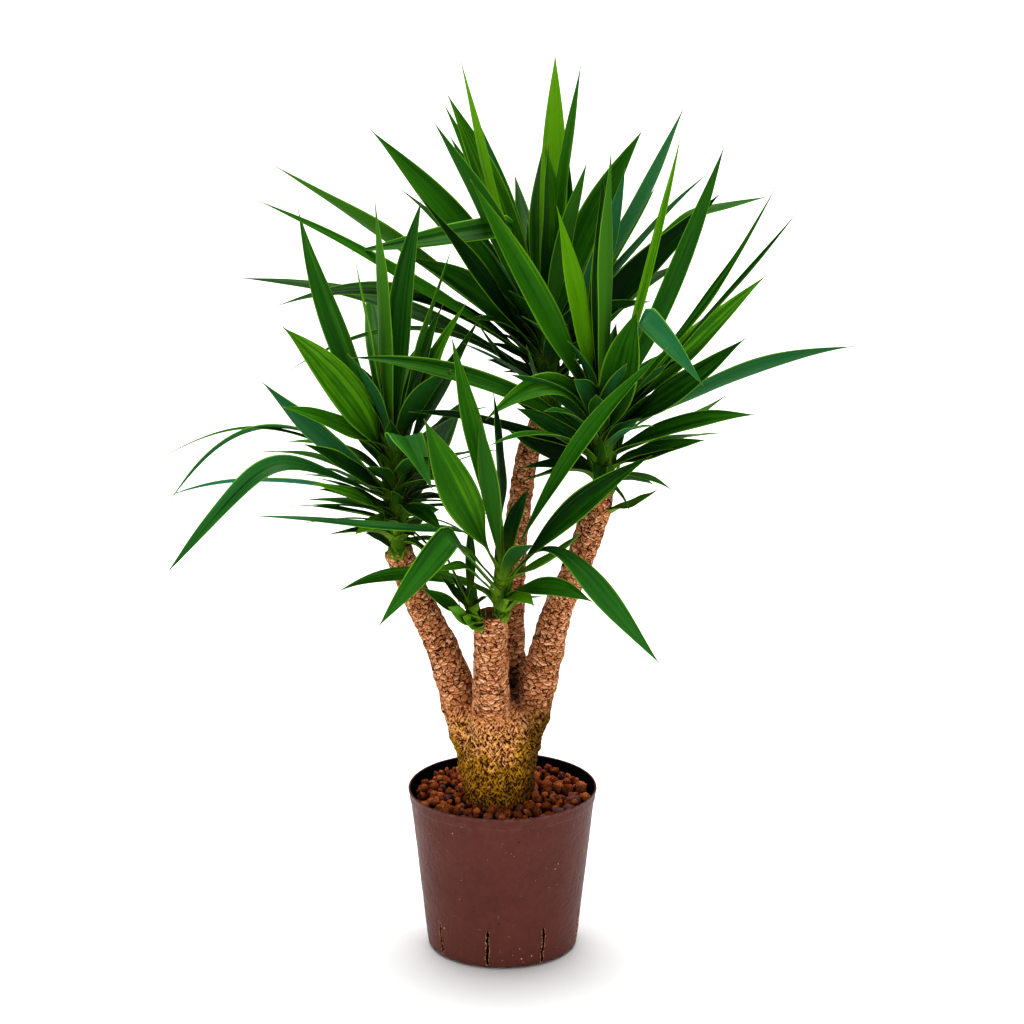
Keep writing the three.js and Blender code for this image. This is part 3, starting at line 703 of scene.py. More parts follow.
def plate_tones(tree, unrolled):
    """Lightness and height of the scarred plates: cracks round them, wrinkles, and painted highlights on
    their upper edges and painted glints on them.
    """
    wander = add_node(tree, "ShaderNodeTexNoise", {"Vector": unrolled, "Scale": 120, "Detail": 4})
    wander = add_node(tree, "ShaderNodeVectorMath", {0: wander.outputs["Color"], "Scale": 1.6},
                      operation="SCALE")
    scaled = stretched(tree, unrolled, (114, 114, 186))
    spot = add_node(tree, "ShaderNodeVectorMath", {0: scaled, 1: wander.outputs[0]}, operation="ADD")
    spot = spot.outputs[0]
    edge = cells(tree, spot, 1, "DISTANCE_TO_EDGE")
    plate = add_node(tree, "ShaderNodeTexVoronoi", {"Vector": spot, "Scale": 1}).outputs
    own = add_node(tree, "ShaderNodeSeparateColor", {"Color": plate["Color"]}).outputs[0]
    within = add_node(tree, "ShaderNodeVectorMath", {0: spot, 1: plate["Position"]}, operation="SUBTRACT")
    up = add_node(tree, "ShaderNodeSeparateXYZ", {"Vector": within.outputs[0]}).outputs["Z"]
    # Painted highlight: the upper part of each plate, near its edge, is painted lighter as if lit from
    # above
    lip = times(tree, ranged(tree, up, 0.02, 0.32), ranged(tree, edge, 0.03, 0.1))
    lip = times(tree, lip, ranged(tree, own, 0.2, 0.9, 0.12, 0.5))
    folds = speckle(tree, stretched(tree, unrolled, (150, 150, 360)), 1, 2, 0.5, 0.5)
    wrinkle = ranged(tree, calculated(tree, "ABSOLUTE", minus(tree, folds, 0.5)), 0.03, 0.0)
    # Painted glints: sparse light streaks across the plates
    streaks = speckle(tree, stretched(tree, unrolled, (190, 190, 560)), 1.1, 2, 0.5, 0.3)
    glint = ranged(tree, streaks, 0.52, 0.64)
    gap = ranged(tree, edge, 0.09, 0.025)
    tone = plus(tree, lip, ranged(tree, own, 0.0, 1.0, 0.36, 0.54))
    tone = minus(tree, tone, times(tree, wrinkle, 0.16))
    tone = plus(tree, tone, times(tree, glint, 0.36))
    tone = minus(tree, tone, times(tree, gap, 0.54))
    dips = calculated(tree, "MAXIMUM", gap, times(tree, wrinkle, 0.35))
    return tone, minus(tree, 1.0, dips)


def stroke_tones(tree, place):
    """Lightness of the stump's bark: light strokes that cross each other over dark gaps."""
    sets = []
    for lean, scale in STROKES:
        tilted = add_node(tree, "ShaderNodeMapping", {
            "Vector": place, "Rotation": (0, math.radians(lean), 0)}).outputs[0]
        sets.append(speckle(tree, stretched(tree, tilted, scale), 1, 1.5, 0.5, 0.25))
    return ranged(tree, calculated(tree, "MAXIMUM", *sets), 0.41, 0.66, 0.03, 1.0)


def leaf_finish(settings):
    """Leaf: lengthwise veins, pale margin and foot, blue-green underside, blue-green streaks that are
    partly wax and partly painted sheen, painted shade near the feet of darker blades, dry tip.
    """
    material, tree, surface, _ = new_finish("yucca_leaf", specular=0.06)
    across, along, under = split(tree, "leaf_place")
    tone, own, wax_and_sheen = split(tree, "leaf_kind")
    pale, dry, depth = split(tree, "leaf_tint")
    greens = [tuple(green) for green in (settings.old_and_shaded_green, settings.ripe_green, settings.young_green)]
    width = calculated(tree, "ABSOLUTE", across)
    lane = add_node(tree, "ShaderNodeCombineXYZ", {
        "X": across, "Y": along, "Z": times(tree, own, 40)}).outputs[0]
    veins = speckle(tree, stretched(tree, lane, (17, 0.9, 1)), 1, 3, 0.65)
    bands = speckle(tree, stretched(tree, lane, (3.6, 0.5, 1)), 1, 2, 0.55)
    patches = speckle(tree, stretched(tree, lane, (1.3, 4, 2)), 1, 3, 0.6)
    ripeness = plus(tree, tone, ranged(tree, bands, 0.3, 0.7, -0.14, 0.14))
    ripeness = plus(tree, ripeness, ranged(tree, patches, 0.3, 0.72, -0.07, 0.09))
    ripeness = plus(tree, ripeness, ranged(tree, veins, 0.3, 0.7, -0.09, 0.09))
    green = three_tones(tree, ripeness, *greens)
    # Blue-green streaks on the upper face, partly wax bloom and partly a painted reflection of the sky
    bloom_and_sheen = times(tree, wax_and_sheen, ranged(tree, bands, 0.3, 0.65, 0.1, 0.7))
    green = mixed(tree, bloom_and_sheen, green, tinted(settings.wax_and_sheen, 0.8))
    under_green = tuple(settings.underside)
    below = mixed(tree, ranged(tree, veins, 0.3, 0.7), tinted(under_green, 0.7), tinted(under_green, 1.25))
    below = mixed(tree, ranged(tree, tone, 0.3, 1.0, 0, 0.75), below, (0.06, 0.19, 0.012))
    # On the underside the same share gives blue-green veins, partly wax and partly painted sheen
    bloom_and_sheen = times(tree, wax_and_sheen, ranged(tree, veins, 0.3, 0.6, 0.6, 1))
    below = mixed(tree, bloom_and_sheen, below, tuple(settings.wax_and_sheen))
    shade = mixed(tree, under, green, below)
    # Painted shade: darker blades are painted almost black near their feet, deep in the shoot
    shaded = times(tree, depth, ranged(tree, tone, 0.8, 0.1, 0, 0.7))
    shade = mixed(tree, shaded, shade, (0.001, 0.008, 0.0006))
    shade = mixed(tree, ranged(tree, width, 0.88, 0.95, 0, 0.7), shade, tuple(settings.margin))
    foot = mixed(tree, ranged(tree, veins, 0.35, 0.65), (0.08, 0.17, 0.006), (0.2, 0.34, 0.02))
    shade = mixed(tree, pale, shade, foot)
    shade = mixed(tree, times(tree, dry, 0.85), shade, (0.2, 0.12, 0.045))
    feed(tree, surface.inputs["Base Color"], shade)
    roughness = plus(tree, ranged(tree, veins, 0.3, 0.7, 0.38, 0.52), times(tree, under, 0.15))
    feed(tree, surface.inputs["Roughness"], roughness)
    feed(tree, surface.inputs["Normal"], raised(tree, veins, 0.0004, 0.4))
    return material


def floor_finish():
    """Matt pale studio floor with a barely visible unevenness."""
    material, tree, surface, place = new_finish("studio_floor", roughness=0.9, specular=0.0)
    drift = speckle(tree, place, 1.3, 2, 0.5)
    feed(tree, surface.inputs["Base Color"], mixed(tree, drift, (0.84, 0.84, 0.84), (0.86, 0.86, 0.86)))
    return material


# The pot

POT_SIDES = 300
RIM_STANDS_OUT = 1.2 * MM
UNDERSIDE = 1.2 * MM
INNER_FLOOR = 2.6 * MM
SLIT_SEED = 11
SLIT_ANGLES = (-142, -101, -58.5, -14, 31, 76, 121, 169)
SLIT_ROWS = 23
SLIT_FROM = 0.0045
SLIT_TO = 0.049
SLIT_WIDTH = 0.0043
CUT_DEPTH = 0.009
LIP_SIDES = 6


def wall_at(pot, z):
    """Outer radius of the pot's wall at a height."""
    return pot.foot_radius + (pot.rim_radius - RIM_STANDS_OUT - pot.foot_radius) * z / pot.height


def steps_from(radius, height, *steps):
    """Points of a profile, each so many millimetres out from a radius and up from a height."""
    return [(radius + out * MM, height + up * MM) for out, up in steps]


def pot_profile(pot):
    """Radius and height of the wall, from the middle of the underside round to the inner floor."""
    foot, rim, top = pot.foot_radius, pot.rim_radius, pot.height
    ledge = top - pot.collar
    profile = [(0, UNDERSIDE), (0.5 * foot, UNDERSIDE)]
    profile += steps_from(foot, 0, (-14, 1.2), (-12, 0), (-10, 0))
    profile += steps_from(wall_at(pot, 0), 0, (-8.5, 0.9), (-2.5, 1.7), (-0.7, 2.3))
    profile += [(wall_at(pot, 2 * MM), 3.6 * MM)]
    profile += [(wall_at(pot, z), z) for z in np.linspace(5 * MM, ledge - 1.2 * MM, 60)]
    profile += steps_from(wall_at(pot, ledge), ledge, (0.1, -0.3), (0.8, 0.3), (1.1, 1.2))
    profile += steps_from(rim, top, (-0.9, -6), (-0.8, -3.2), (-0.2, -2.2), (0, -1.3), (-0.3, -0.4),
                          (-1, 0), (-1.9, -0.3), (-2.4, -1.2))
    profile += steps_from(wall_at(pot, ledge), ledge, (-1.2, 0))
    profile += [(wall_at(pot, z) - pot.wall, z) for z in np.linspace(ledge - 4 * MM, 4 * MM, 24)]
    profile += [(foot - 6 * MM, INNER_FLOOR), (0.4 * foot, INNER_FLOOR), (0, INNER_FLOOR)]
    return np.array(profile)


def pot_shell(pot):
    """The pot without its slits: a turned wall, a little out of round and uneven."""
    profile = pot_profile(pot)
    rings, angles = turned_profile(profile[1:-1], POT_SIDES)
    sag = 0.0007 * np.sin(2 * angles + 0.6) + 0.0003 * np.sin(5 * angles + 2)
    rings[..., :2] *= (1 + (sag[None] * (rings[..., 2] / pot.height))[..., None] / pot.rim_radius)
    points = rings.reshape(-1, 3)
    height = points[:, 2]
    lumps = noise_at(points, 0.03, 2, 1.5) * 0.00035 + noise_at(points, 0.005, 2, 8.5) * 0.00022
    edge = noise_at(points, 0.011, 2, 3.5) * 0.0009 * np.exp(-((height - 0.002) / 0.002) ** 2)
    out = unit(points[:, :2] + 1e-9)
    points[:, :2] += out * (lumps * np.minimum(height / 0.01, 1) + edge)[:, None]
    faces = ring_faces(len(rings), POT_SIDES)[:-2]
    under, floor = len(points), len(points) + 1
    last = len(points) - POT_SIDES
    for j in range(POT_SIDES):
        k = (j + 1) % POT_SIDES
        faces += [[under, k, j], [floor, last + j, last + k]]
    return np.vstack([points, [0, 0, profile[0, 1]], [0, 0, profile[-1, 1]]]), faces


def slit_outline(draw):
    """Height, middle and half width along one ragged drainage slit."""
    outline = []
    wander, lean = 0.0, 0.0026 * (draw.random() - 0.5)
    for i in range(SLIT_ROWS):
        share = i / (SLIT_ROWS - 1)
        end = 0.3 if share in (0, 1) else 1
        wander = 0.65 * wander + 0.0013 * (draw.random() - 0.5)
        half = end * SLIT_WIDTH * (0.24 + 0.26 * draw.random())
        outline.append((SLIT_FROM + (SLIT_TO - SLIT_FROM) * share, wander + lean * (share - 0.5), half))
    return outline


def turned_by(angle, x, y, z):
    """A point turned about the upright axis."""
    return x * math.cos(angle) - y * math.sin(angle), x * math.sin(angle) + y * math.cos(angle), z


def ragged_cutter(outline, angle, radius):
    """A closed, uneven blade that cuts one slit through the wall."""
    points = []
    for z, middle, half in outline:
        for along, side in ((-1, -1), (1, -1), (1, 1), (-1, 1)):
            points.append(turned_by(angle, radius + along * CUT_DEPTH, middle + side * half, z))
    return points, ring_faces(len(outline), 4)


def torn_lip(pot, outline, angle, draw):
    """A thin uneven welt of torn plastic round the mouth of a slit."""
    loop = [(z, middle - half) for z, middle, half in outline]
    loop += [(z, middle + half) for z, middle, half in reversed(outline)]
    loop = np.array(loop)
    between = 0.5 * (loop + np.roll(loop, -1, axis=0))
    loop = np.stack([loop, between], axis=1).reshape(-1, 2)
    centre = np.mean(loop[:, 1])
    points = []
    for z, y in loop:
        fat = 0.0003 + 0.0005 * draw.random() ** 2
        out = wall_at(pot, z) + 0.0001 * draw.random()
        y += 0.0003 if y > centre else -0.0003
        for turn in np.arange(LIP_SIDES) * math.pi / (LIP_SIDES / 2):
            points.append(turned_by(angle, out + fat * math.cos(turn), y + fat * math.sin(turn), z))
    faces = ring_faces(len(loop) + 1, LIP_SIDES)[:-2]
    return points, [[i % len(points) for i in face] for face in faces]


def cut_away(made, cutters):
    """Takes a group of closed cutters off an object, and leaves no cutter behind."""
    cutter = new_object("cutter", *joined(cutters))
    trim = made.modifiers.new("slits", "BOOLEAN")
    trim.operation = "DIFFERENCE"
    trim.solver = "EXACT"
    trim.object = cutter
    apply_modifiers(made)
    discard(cutter)


def pot_wear(pot, points, normals):
    """Marks of the pot's points: torn, painted shade on the inner wall and along the foot, and painted
    sheen on the rim, collar and sides.
    """
    height = points[:, 2]
    away = np.hypot(points[:, 0], points[:, 1])
    facing = (normals * points)[:, :2].sum(1) / away.clip(0.01)
    # Painted shade: the inner wall, and a band along the foot where the pot meets the floor
    within = (facing < -0.5) & (height < pot.height - 0.6 * MM) & (height > 2 * MM)
    foot = np.exp(-(height / 0.0024) ** 4)
    # Painted highlights along the rim and the collar's ledge, and painted sheen on the sides that face left
    # and right
    lip = np.exp(-((height - pot.height + 0.001) / 0.0012) ** 2)
    ledge = np.exp(-((height - pot.height + pot.collar) / 0.0016) ** 2)
    sides = smooth((np.abs(points[:, 0]) / away.clip(0.01) - 0.62) / 0.35)
    painted_sheen = np.maximum(np.maximum(1.5 * lip, 0.35 * ledge), 0.5 * sides)
    return np.stack([0 * away, np.maximum(within, 0.8 * foot), painted_sheen], axis=-1)


def build_pot(pot):
    """The pot with its slits cut through and a torn lip round each."""
    shell = new_object("uncut_pot", *pot_shell(pot))
    draw = np.random.RandomState(SLIT_SEED)
    slits = [(slit_outline(draw), math.radians(angle)) for angle in SLIT_ANGLES]
    cut_away(shell, [ragged_cutter(outline, angle, pot.foot_radius) for outline, angle in slits])
    points, normals, faces = taken_apart(shell)
    parts, marks = [(points, faces)], [pot_wear(pot, points, normals)]
    for outline, angle in slits:
        parts.append(torn_lip(pot, outline, angle, draw))
        marks.append(np.tile([1.0, 0, 0], (len(parts[-1][0]), 1)))
    return add_piece("grow_pot", *joined(parts), plastic_finish(pot), {"pot_wear": np.vstack(marks)})


# The granules

FLOOR_OF_GRANULES = 0.166
GRANULES_DROPPED = 900
SPOTS_TRIED = 14
FILLING_SIDES = 150
FILLING_BOTTOM = 3.4 * MM
FILLING_TOP = 0.169

# Share of its radius that a granule keeps off the stump, and how closely two of them touch
OFF_STUMP = 0.55
TOUCH = 0.96

# Circles in plan that the stump fills: x, y, radius
STUMP_CIRCLES = [(-18, 0, 25), (10, 0, 24), (0, 15, 23), (-13, -19, 24), (-4, -6, 36)]


def bed_radius(pot, z):
    """Inner radius of the pot at a height."""
    return pot.foot_radius + (pot.rim_radius - pot.foot_radius) / pot.height * z - pot.wall


def gaps_in_plan(spots, others):
    """Level distances from each spot to the middle of each of the others."""
    return np.hypot(spots[:, None, 0] - others[None, :, 0], spots[:, None, 1] - others[None, :, 1])


def settled_granules(granules, pot):
    """Drops granules one by one, each where it comes to rest lowest of a few tries."""
    draw = np.random.RandomState(granules.seed)
    edge = bed_radius(pot, granules.fill) - 1.6 * MM
    circles = np.array(STUMP_CIRCLES) * MM
    placed = np.zeros((0, 4))
    for _ in range(GRANULES_DROPPED):
        radius = granules.smallest + (granules.largest - granules.smallest) * draw.random() ** 0.95
        away = (edge - radius) * np.sqrt(draw.random(SPOTS_TRIED))
        turn = draw.random(SPOTS_TRIED) * 2 * math.pi
        spots = np.stack([away * np.cos(turn), away * np.sin(turn)], axis=-1)
        spots = spots[(gaps_in_plan(spots, circles) > circles[:, 2] + OFF_STUMP * radius).all(axis=1)]
        if not len(spots):
            continue
        rest = np.full(len(spots), FLOOR_OF_GRANULES + 0.3 * radius)
        if len(placed):
            flat = gaps_in_plan(spots, placed)
            touch = TOUCH * (radius + placed[None, :, 3])
            over = placed[None, :, 2] + np.sqrt(np.maximum(touch ** 2 - flat ** 2, 0))
            rest = np.maximum(rest, np.where(flat < touch, over, 0).max(axis=1))
        best = int(np.argmin(rest))
        if rest[best] + radius < granules.fill:
            placed = np.vstack([placed, [*spots[best], rest[best], radius]])
    return placed


def granule_shape():
    """Points and faces of a ball with radius 1."""
    ball = bmesh.new()
    bmesh.ops.create_icosphere(ball, subdivisions=3, radius=1)
    points = np.array([v.co[:] for v in ball.verts])
    faces = [[v.index for v in face.verts] for face in ball.faces]
    ball.free()
    return points, faces


def packed_filling(pot):
    """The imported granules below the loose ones, as one lumpy block that fills the pot."""
    steps = [(share * (pot.foot_radius - 3 * MM), FILLING_BOTTOM) for share in (0.5, 1)]
    steps += [(bed_radius(pot, z) - 2.4 * MM, z) for z in np.linspace(0.006, 0.167, 44)]
    top = bed_radius(pot, FILLING_TOP) - 3 * MM
    steps += [(share * top, FILLING_TOP) for share in np.linspace(0.98, 0.04, 26)]
    points = turned_profile(np.array(steps), FILLING_SIDES)[0].reshape(-1, 3)
    lumps = noise_at(points, 0.008, 2, 4.0)
    points[:, :2] *= 1 + 0.012 * np.minimum(lumps, 0.6)[:, None]
    points[:, 2] += np.where(points[:, 2] > 0.16, 0.003 * lumps, 0)
    return points, ring_faces(len(steps), FILLING_SIDES)


def build_granules(granules, pot):
    """Loose granules, each with its own shape and tint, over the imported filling."""
    draw = np.random.RandomState(granules.seed + 1)
    ball, ball_faces = granule_shape()
    parts, kinds = [], []
    for x, y, z, radius in settled_granules(granules, pot):
        turn, _ = np.linalg.qr(draw.normal(size=(3, 3)))
        stretch = np.array([1.06, 0.74 + 0.3 * draw.random(), 0.62 + 0.3 * draw.random()])
        lumps = noise_at(ball, 0.85, 3, 50 * draw.random())
        dents = np.minimum(noise_at(ball, 0.55, 1, 50 * draw.random()) + 0.12, 0)
        crater = unit(draw.normal(size=3))
        bowl = smooth((ball @ crater - 0.72) / 0.16) * (0.28 if draw.random() < 0.4 else 0)
        body = ball * (1 + 0.26 * lumps + 0.6 * dents - bowl)[:, None] * stretch
        body = body @ turn * radius * 1.03 + (x, y, z)
        own, worn = draw.random(2)
        # Painted shade: the deeper a point lies below the top of the heap, or inside a crater, the darker
        # it is painted
        depth = smooth((granules.fill - 0.007 - body[:, 2]) / 0.0095)
        painted_gap_shade = np.minimum(np.maximum(0.93 * depth, 1.6 * bowl), 0.95)
        parts.append((body, ball_faces))
        kinds.append(np.column_stack([np.tile([own, worn], (len(ball), 1)), painted_gap_shade]))
    parts.append(packed_filling(pot))
    # The packed filling is painted nearly black, as shade
    kinds.append(np.tile([0.4, 0.3, 0.95], (len(parts[-1][0]), 1)))
    marks = {"granule_kind": np.vstack(kinds)}
    return add_piece("clay_granules", *joined(parts), clay_finish(granules), marks)


# The trunk

SCAR_SEED = 23
SCAR_WIDTH = 1.45
SCAR_FLATNESS = 1.5
CRACK_WIDTH = 0.32
RING_PITCH = 0.0135
STUMP_TOP = 0.325
STUMP_FADE = 0.055

# Heights of the bark's relief
PLATE_STEP = 0.0004
RING_STEP = 0.0004
RIDGES = 0.0016
KNOTS = 0.0012
SWELLS = 0.0012
CUT_DISH = 0.0012

# Upper edge of the moss from the stump's left to its right: x, height
MOSS_EDGE = [(-0.05, 0.292), (-0.03, 0.286), (-0.015, 0.27), (0.01, 0.275), (0.025, 0.312), (0.045, 0.325)]


def cane_line(points, substeps=12):
    """A smooth line through a cane's points, radius included, in metres."""
    p = np.array(points, float)
    p = np.vstack([2 * p[0] - p[1], p, 2 * p[-1] - p[-2]])
    t = (np.arange(substeps) / substeps)[:, None]
    line = []
    for a, b, c, d in zip(p, p[1:], p[2:], p[3:]):
        line.append(0.5 * (2 * b + (c - a) * t + (2 * a - 5 * b + 4 * c - d) * t ** 2
                           + (3 * b - a - 3 * c + d) * t ** 3))
    return np.vstack([*line, p[-2]]) * MM


def carried_frames(line):
    """Tangents and two cross directions that don't turn about the line."""
    tangents = unit(np.gradient(line[:, :3], axis=0))
    side = np.zeros_like(tangents)
    first = np.array([0.0, 1.0, 0.0])
    for i, tangent in enumerate(tangents):
        first = first - tangent * first.dot(tangent)
        first = first / np.linalg.norm(first)
        side[i] = first
    return tangents, side, np.cross(tangents, side)


def cane_tube(line, sides=36):
    """A closed tube along a line, a little out of round."""
    _, side, other = carried_frames(line)
    angles = -np.arange(sides) * 2 * math.pi / sides
    height = line[:, None, 2]
    swell = 1 + 0.03 * np.cos(2 * angles + 180 * height) + 0.02 * np.cos(3 * angles - 150 * height)
    radius = line[:, 3, None] * swell
    points = line[:, None, :3] + radius[..., None] * (
        np.cos(angles)[None, :, None] * side[:, None] + np.sin(angles)[None, :, None] * other[:, None])
    return points.reshape(-1, 3), ring_faces(len(line), sides)


def joined_canes(trunk, lines):
    """One skin over all the canes."""
    canes = new_object("canes", *joined([cane_tube(line) for line in lines]))
    skin = canes.modifiers.new("skin", "REMESH")
    skin.mode = "VOXEL"
    skin.voxel_size = trunk.detail
    soften = canes.modifiers.new("soften", "SMOOTH")
    soften.factor = 0.5
    soften.iterations = 8
    apply_modifiers(canes)
    return canes


def places_on_canes(points, lines):
    """For each point: its cane, its place in the cane's own cross frame, and how far along it lies."""
    nearest = np.full(len(points), np.inf)
    cane = np.zeros(len(points), int)
    local = np.zeros((len(points), 3))
    for number, line in enumerate(lines):
        tangents, side, other = carried_frames(line)
        tree = search_tree(line[:, :3])
        index = np.array([tree.find(p)[1] for p in points])
        away = points - line[index, :3]
        past = (away * tangents[index]).sum(1)
        share = np.linalg.norm(away - tangents[index] * past[:, None], axis=1) / line[index, 3]
        closer = share < nearest
        nearest[closer] = share[closer]
        cane[closer] = number
        across = [(away * axis[index]).sum(1) for axis in (side, other)]
        local[closer] = np.stack([*across, run_along(line[:, :3])[index] + past], axis=-1)[closer]
    return cane, local


def scar_centres(line, pitch, draw):
    """Centres of the scars on one cane, in shifted rows, on a tube of the cane's usual radius."""
    radius = usual_radius(line)
    count = int(2 * math.pi * radius / (pitch * SCAR_WIDTH))
    centres = []
    for row in range(int(run_along(line[:, :3])[-1] / pitch) + 2):
        phase = 0.5 * (row % 2)
        for j in range(count):
            angle = 2 * math.pi * (j + phase + 0.5 * (draw.random() - 0.5)) / count
            along = pitch * (row + 0.55 * (draw.random() - 0.5))
            centres.append((radius * math.cos(angle), radius * math.sin(angle), along * SCAR_FLATNESS))
    return centres


def usual_radius(line):
    """The middle one of a cane's radii."""
    return float(np.median(line[:, 3]))


def scar_cells(points, cane, local, lines, pitch, draw):
    """0 on a scar's plate to 1 in the crack between scars, and each plate's own number."""
    crack = np.zeros(len(points))
    plate = np.zeros(len(points))
    for number, line in enumerate(lines):
        centres = scar_centres(line, pitch, draw)
        shade = draw.random(len(centres))
        tree = search_tree(centres)
        mine = np.nonzero(cane == number)[0]
        spots = local[mine]
        spots[:, :2] = unit(spots[:, :2]) * usual_radius(line)
        wobble = np.stack([noise_at(points[mine], 0.006, 2, seed) for seed in (2.0, 5.0, 9.0)], axis=-1)
        spots = spots * (1, 1, SCAR_FLATNESS) + 0.0012 * wobble
        for i, spot in zip(mine, spots):
            (_, index, near), (_, _, far) = tree.find_n(spot, 2)
            crack[i] = 1 - min((far - near) / (CRACK_WIDTH * pitch), 1)
            plate[i] = shade[index]
    return smooth(crack), plate


def bark_relief(trunk, points, along, crack, plate, knobbly):
    """Height of the bark: plates and rings on the canes, ridges and knots on the stump."""
    swell = noise_at(points, 0.02, 2, 3.0)
    knots = noise_at(points, 0.006, 3, 7.0)
    ridged = 1 - 2 * np.abs(noise_at(points, 0.005, 2, 11.0))
    rings = np.sin(along / RING_PITCH * 2 * math.pi + 1.5 * swell)
    plates = (0.55 - crack) * trunk.groove + PLATE_STEP * (plate - 0.5) + RING_STEP * rings
    rough = RIDGES * ridged + KNOTS * knots
    lift = (1 - knobbly) * plates + knobbly * (rough + 0.2 * plates)
    lift += SWELLS * swell * (0.3 + knobbly) + 0.0004 * knots
    return lift


def build_trunk(trunk):
    """One skin over stump and canes, raised by the bark's relief."""
    lines = [cane_line(points) for points in CANES]
    points, normals, faces = taken_apart(joined_canes(trunk, lines))
    canes = lines[:-1]
    cane, local = places_on_canes(points, canes)
    ends = np.array([line[0, 3] for line in canes])[cane]
    away = np.linalg.norm(local[:, :2], axis=1)
    cut = smooth((0.0025 - local[:, 2]) / 0.0015) * (away < 1.2 * ends)
    local[:, 2] += np.array(CANE_TILT)[cane] * (points[:, 1] - POT_LOW.y) * 0.6
    draw = np.random.RandomState(SCAR_SEED)
    crack, plate = scar_cells(points, cane, local, canes, trunk.scar_pitch, draw)
    knobbly = smooth((STUMP_TOP - points[:, 2]) / STUMP_FADE)
    lift = bark_relief(trunk, points, local[:, 2], crack, plate, knobbly)
    lift *= 1 - 0.85 * cut
    hollow = cut * CUT_DISH * (1 - away / ends)
    moved = points + normals * (lift - hollow)[:, None]
    shade = np.maximum(np.array(CANE_SHADE)[cane] * (1 - knobbly), shaded_side(points))
    around = unit(local[:, :2]) * np.array([usual_radius(line) for line in canes])[cane][:, None]
    unrolled = np.column_stack([around, local[:, 2] * np.array(CANE_CLOSE)[cane]])
    marks = {
        "bark_kind": np.stack([knobbly, crack * (1 - 0.6 * knobbly), cut], axis=-1),
        "bark_tint": np.stack([moss_cover(points), shade, plate], axis=-1),
        "bark_place": unrolled + cane[:, None] * 0.7,
    }
    return add_piece("cane_trunk", moved, faces, bark_finish(trunk), marks)


def moss_cover(points):
    """Share of moss, which climbs highest on the stump's right and keeps low on the front lobe."""
    x, y, z = points.T
    top = np.interp(x, *zip(*MOSS_EDGE))
    top = np.where(y > 0.01, 0.285, top)
    return 1.65 * smooth((top - z + 0.012 * noise_at(points, 0.016, 3, 19.0)) / 0.085)


def shaded_side(points):
    """Share of shade low on the right of the stump and in the fork behind the front cane."""
    x, y, z = points.T
    side = 0.7 * smooth((x - 0.01) / 0.02) * smooth((y + 0.05) / 0.03) * smooth((0.33 - z) / 0.05)
    fork = np.exp(-((x - 0.011) / 0.012) ** 2 - ((z - 0.312) / 0.034) ** 2) * smooth((y + 0.04) / 0.02)
    return np.minimum(side + fork, 1)


# The shoots

# Share of a blade's length over which it twists, share of the stem's radius at which it roots, degrees
# round the stem from one leaf to the next, and the length from which a blade's waves are in full swing
BLADE_TURNED_AT = 0.42
BLADE_ROOT_OUT = 0.4
LEAF_TURN = 137.5
FULL_LENGTH = 250

# Thickness of a blade's foot, and how much of it is lost on the way to the tip
FOOT_THICKNESS = 1.7
THINS_BY = 1.15

# Least and greatest reach, width, bow and twist of a blade on the far side
FAR_RANGES = [(250, 300), (28, 34), (12, 26), (-10, 10)]

# How many more stations and how much slenderer a lower end a creased blade has than another one
CREASED_STATIONS = 1.25
CREASED_WAIST = 1.35

# Share of the stem's length, and of its radius there
STEM_OUTLINE = [(-0.1, 0.8), (0.02, 0.86), (0.3, 0.95), (0.8, 0.85), (1, 0.55), (1.12, 0.1)]

# Stations and points across a short blade or a clasping foot, and the headings of the hanging lobes
SHORT_GRID = (18, 7)
FOOT_GRID = (12, 7)
LOBE_HEADINGS = (232, 268, 304)


def heading_vector(heading, lift):
    """The direction of a heading and a lift in degrees."""
    heading, lift = math.radians(heading), math.radians(lift)
    level = math.cos(lift)
    return np.array([level * math.cos(heading), level * math.sin(heading), math.sin(lift)])


def evenly_spaced(dense, count):
    """Points at equal steps along a dense line, with their shares of the way and its whole length."""
    run = run_along(dense)
    s = np.linspace(0, 1, count)
    at = np.stack([np.interp(s * run[-1], run, dense[:, i]) for i in range(3)], axis=-1)
    return s, at, run[-1]


def arced_line(core, out, heading, lift, reach, bow):
    """An even arc from the stem's side to the tip, with its middle bowed upwards."""
    along = heading_vector(heading, lift)
    root = core + heading_vector(heading, 0) * out
    bend = core + along * reach / 2 + heading_vector(heading, lift + 90) * 2 * bow
    tip = core + along * reach
    t = np.linspace(0, 1, 120)[:, None]
    return (1 - t) ** 2 * root + 2 * t * (1 - t) * bend + t ** 2 * tip


def creased_line(core, out, before, after, ease):
    """Two straight stretches that meet in a bend of the given length."""
    root = core + heading_vector(before[0], 0) * out
    crease = core + heading_vector(before[0], before[1]) * before[2]
    tip = crease + heading_vector(after[0], after[1]) * after[2]
    rise = np.linspace(0, 1, 100)[:, None]
    dense = np.vstack([root + (crease - root) * rise, crease + (tip - crease) * rise[1:]])
    _, dense, length = evenly_spaced(dense, 240)
    reach = max(3, int(0.5 * ease * (len(dense) - 1) / length))
    padded = np.vstack([dense[:1]] * reach + [dense] + [dense[-1:]] * reach)
    kernel = np.hanning(2 * reach + 3)[1:-1]
    kernel /= kernel.sum()
    eased = np.stack([np.convolve(padded[:, i], kernel, "valid") for i in range(3)], axis=-1)
    eased[0], eased[-1] = root, tip
    sag = np.sin(np.linspace(0, math.pi, len(eased)))[:, None] * (0, 0, 2.0)
    return eased + sag


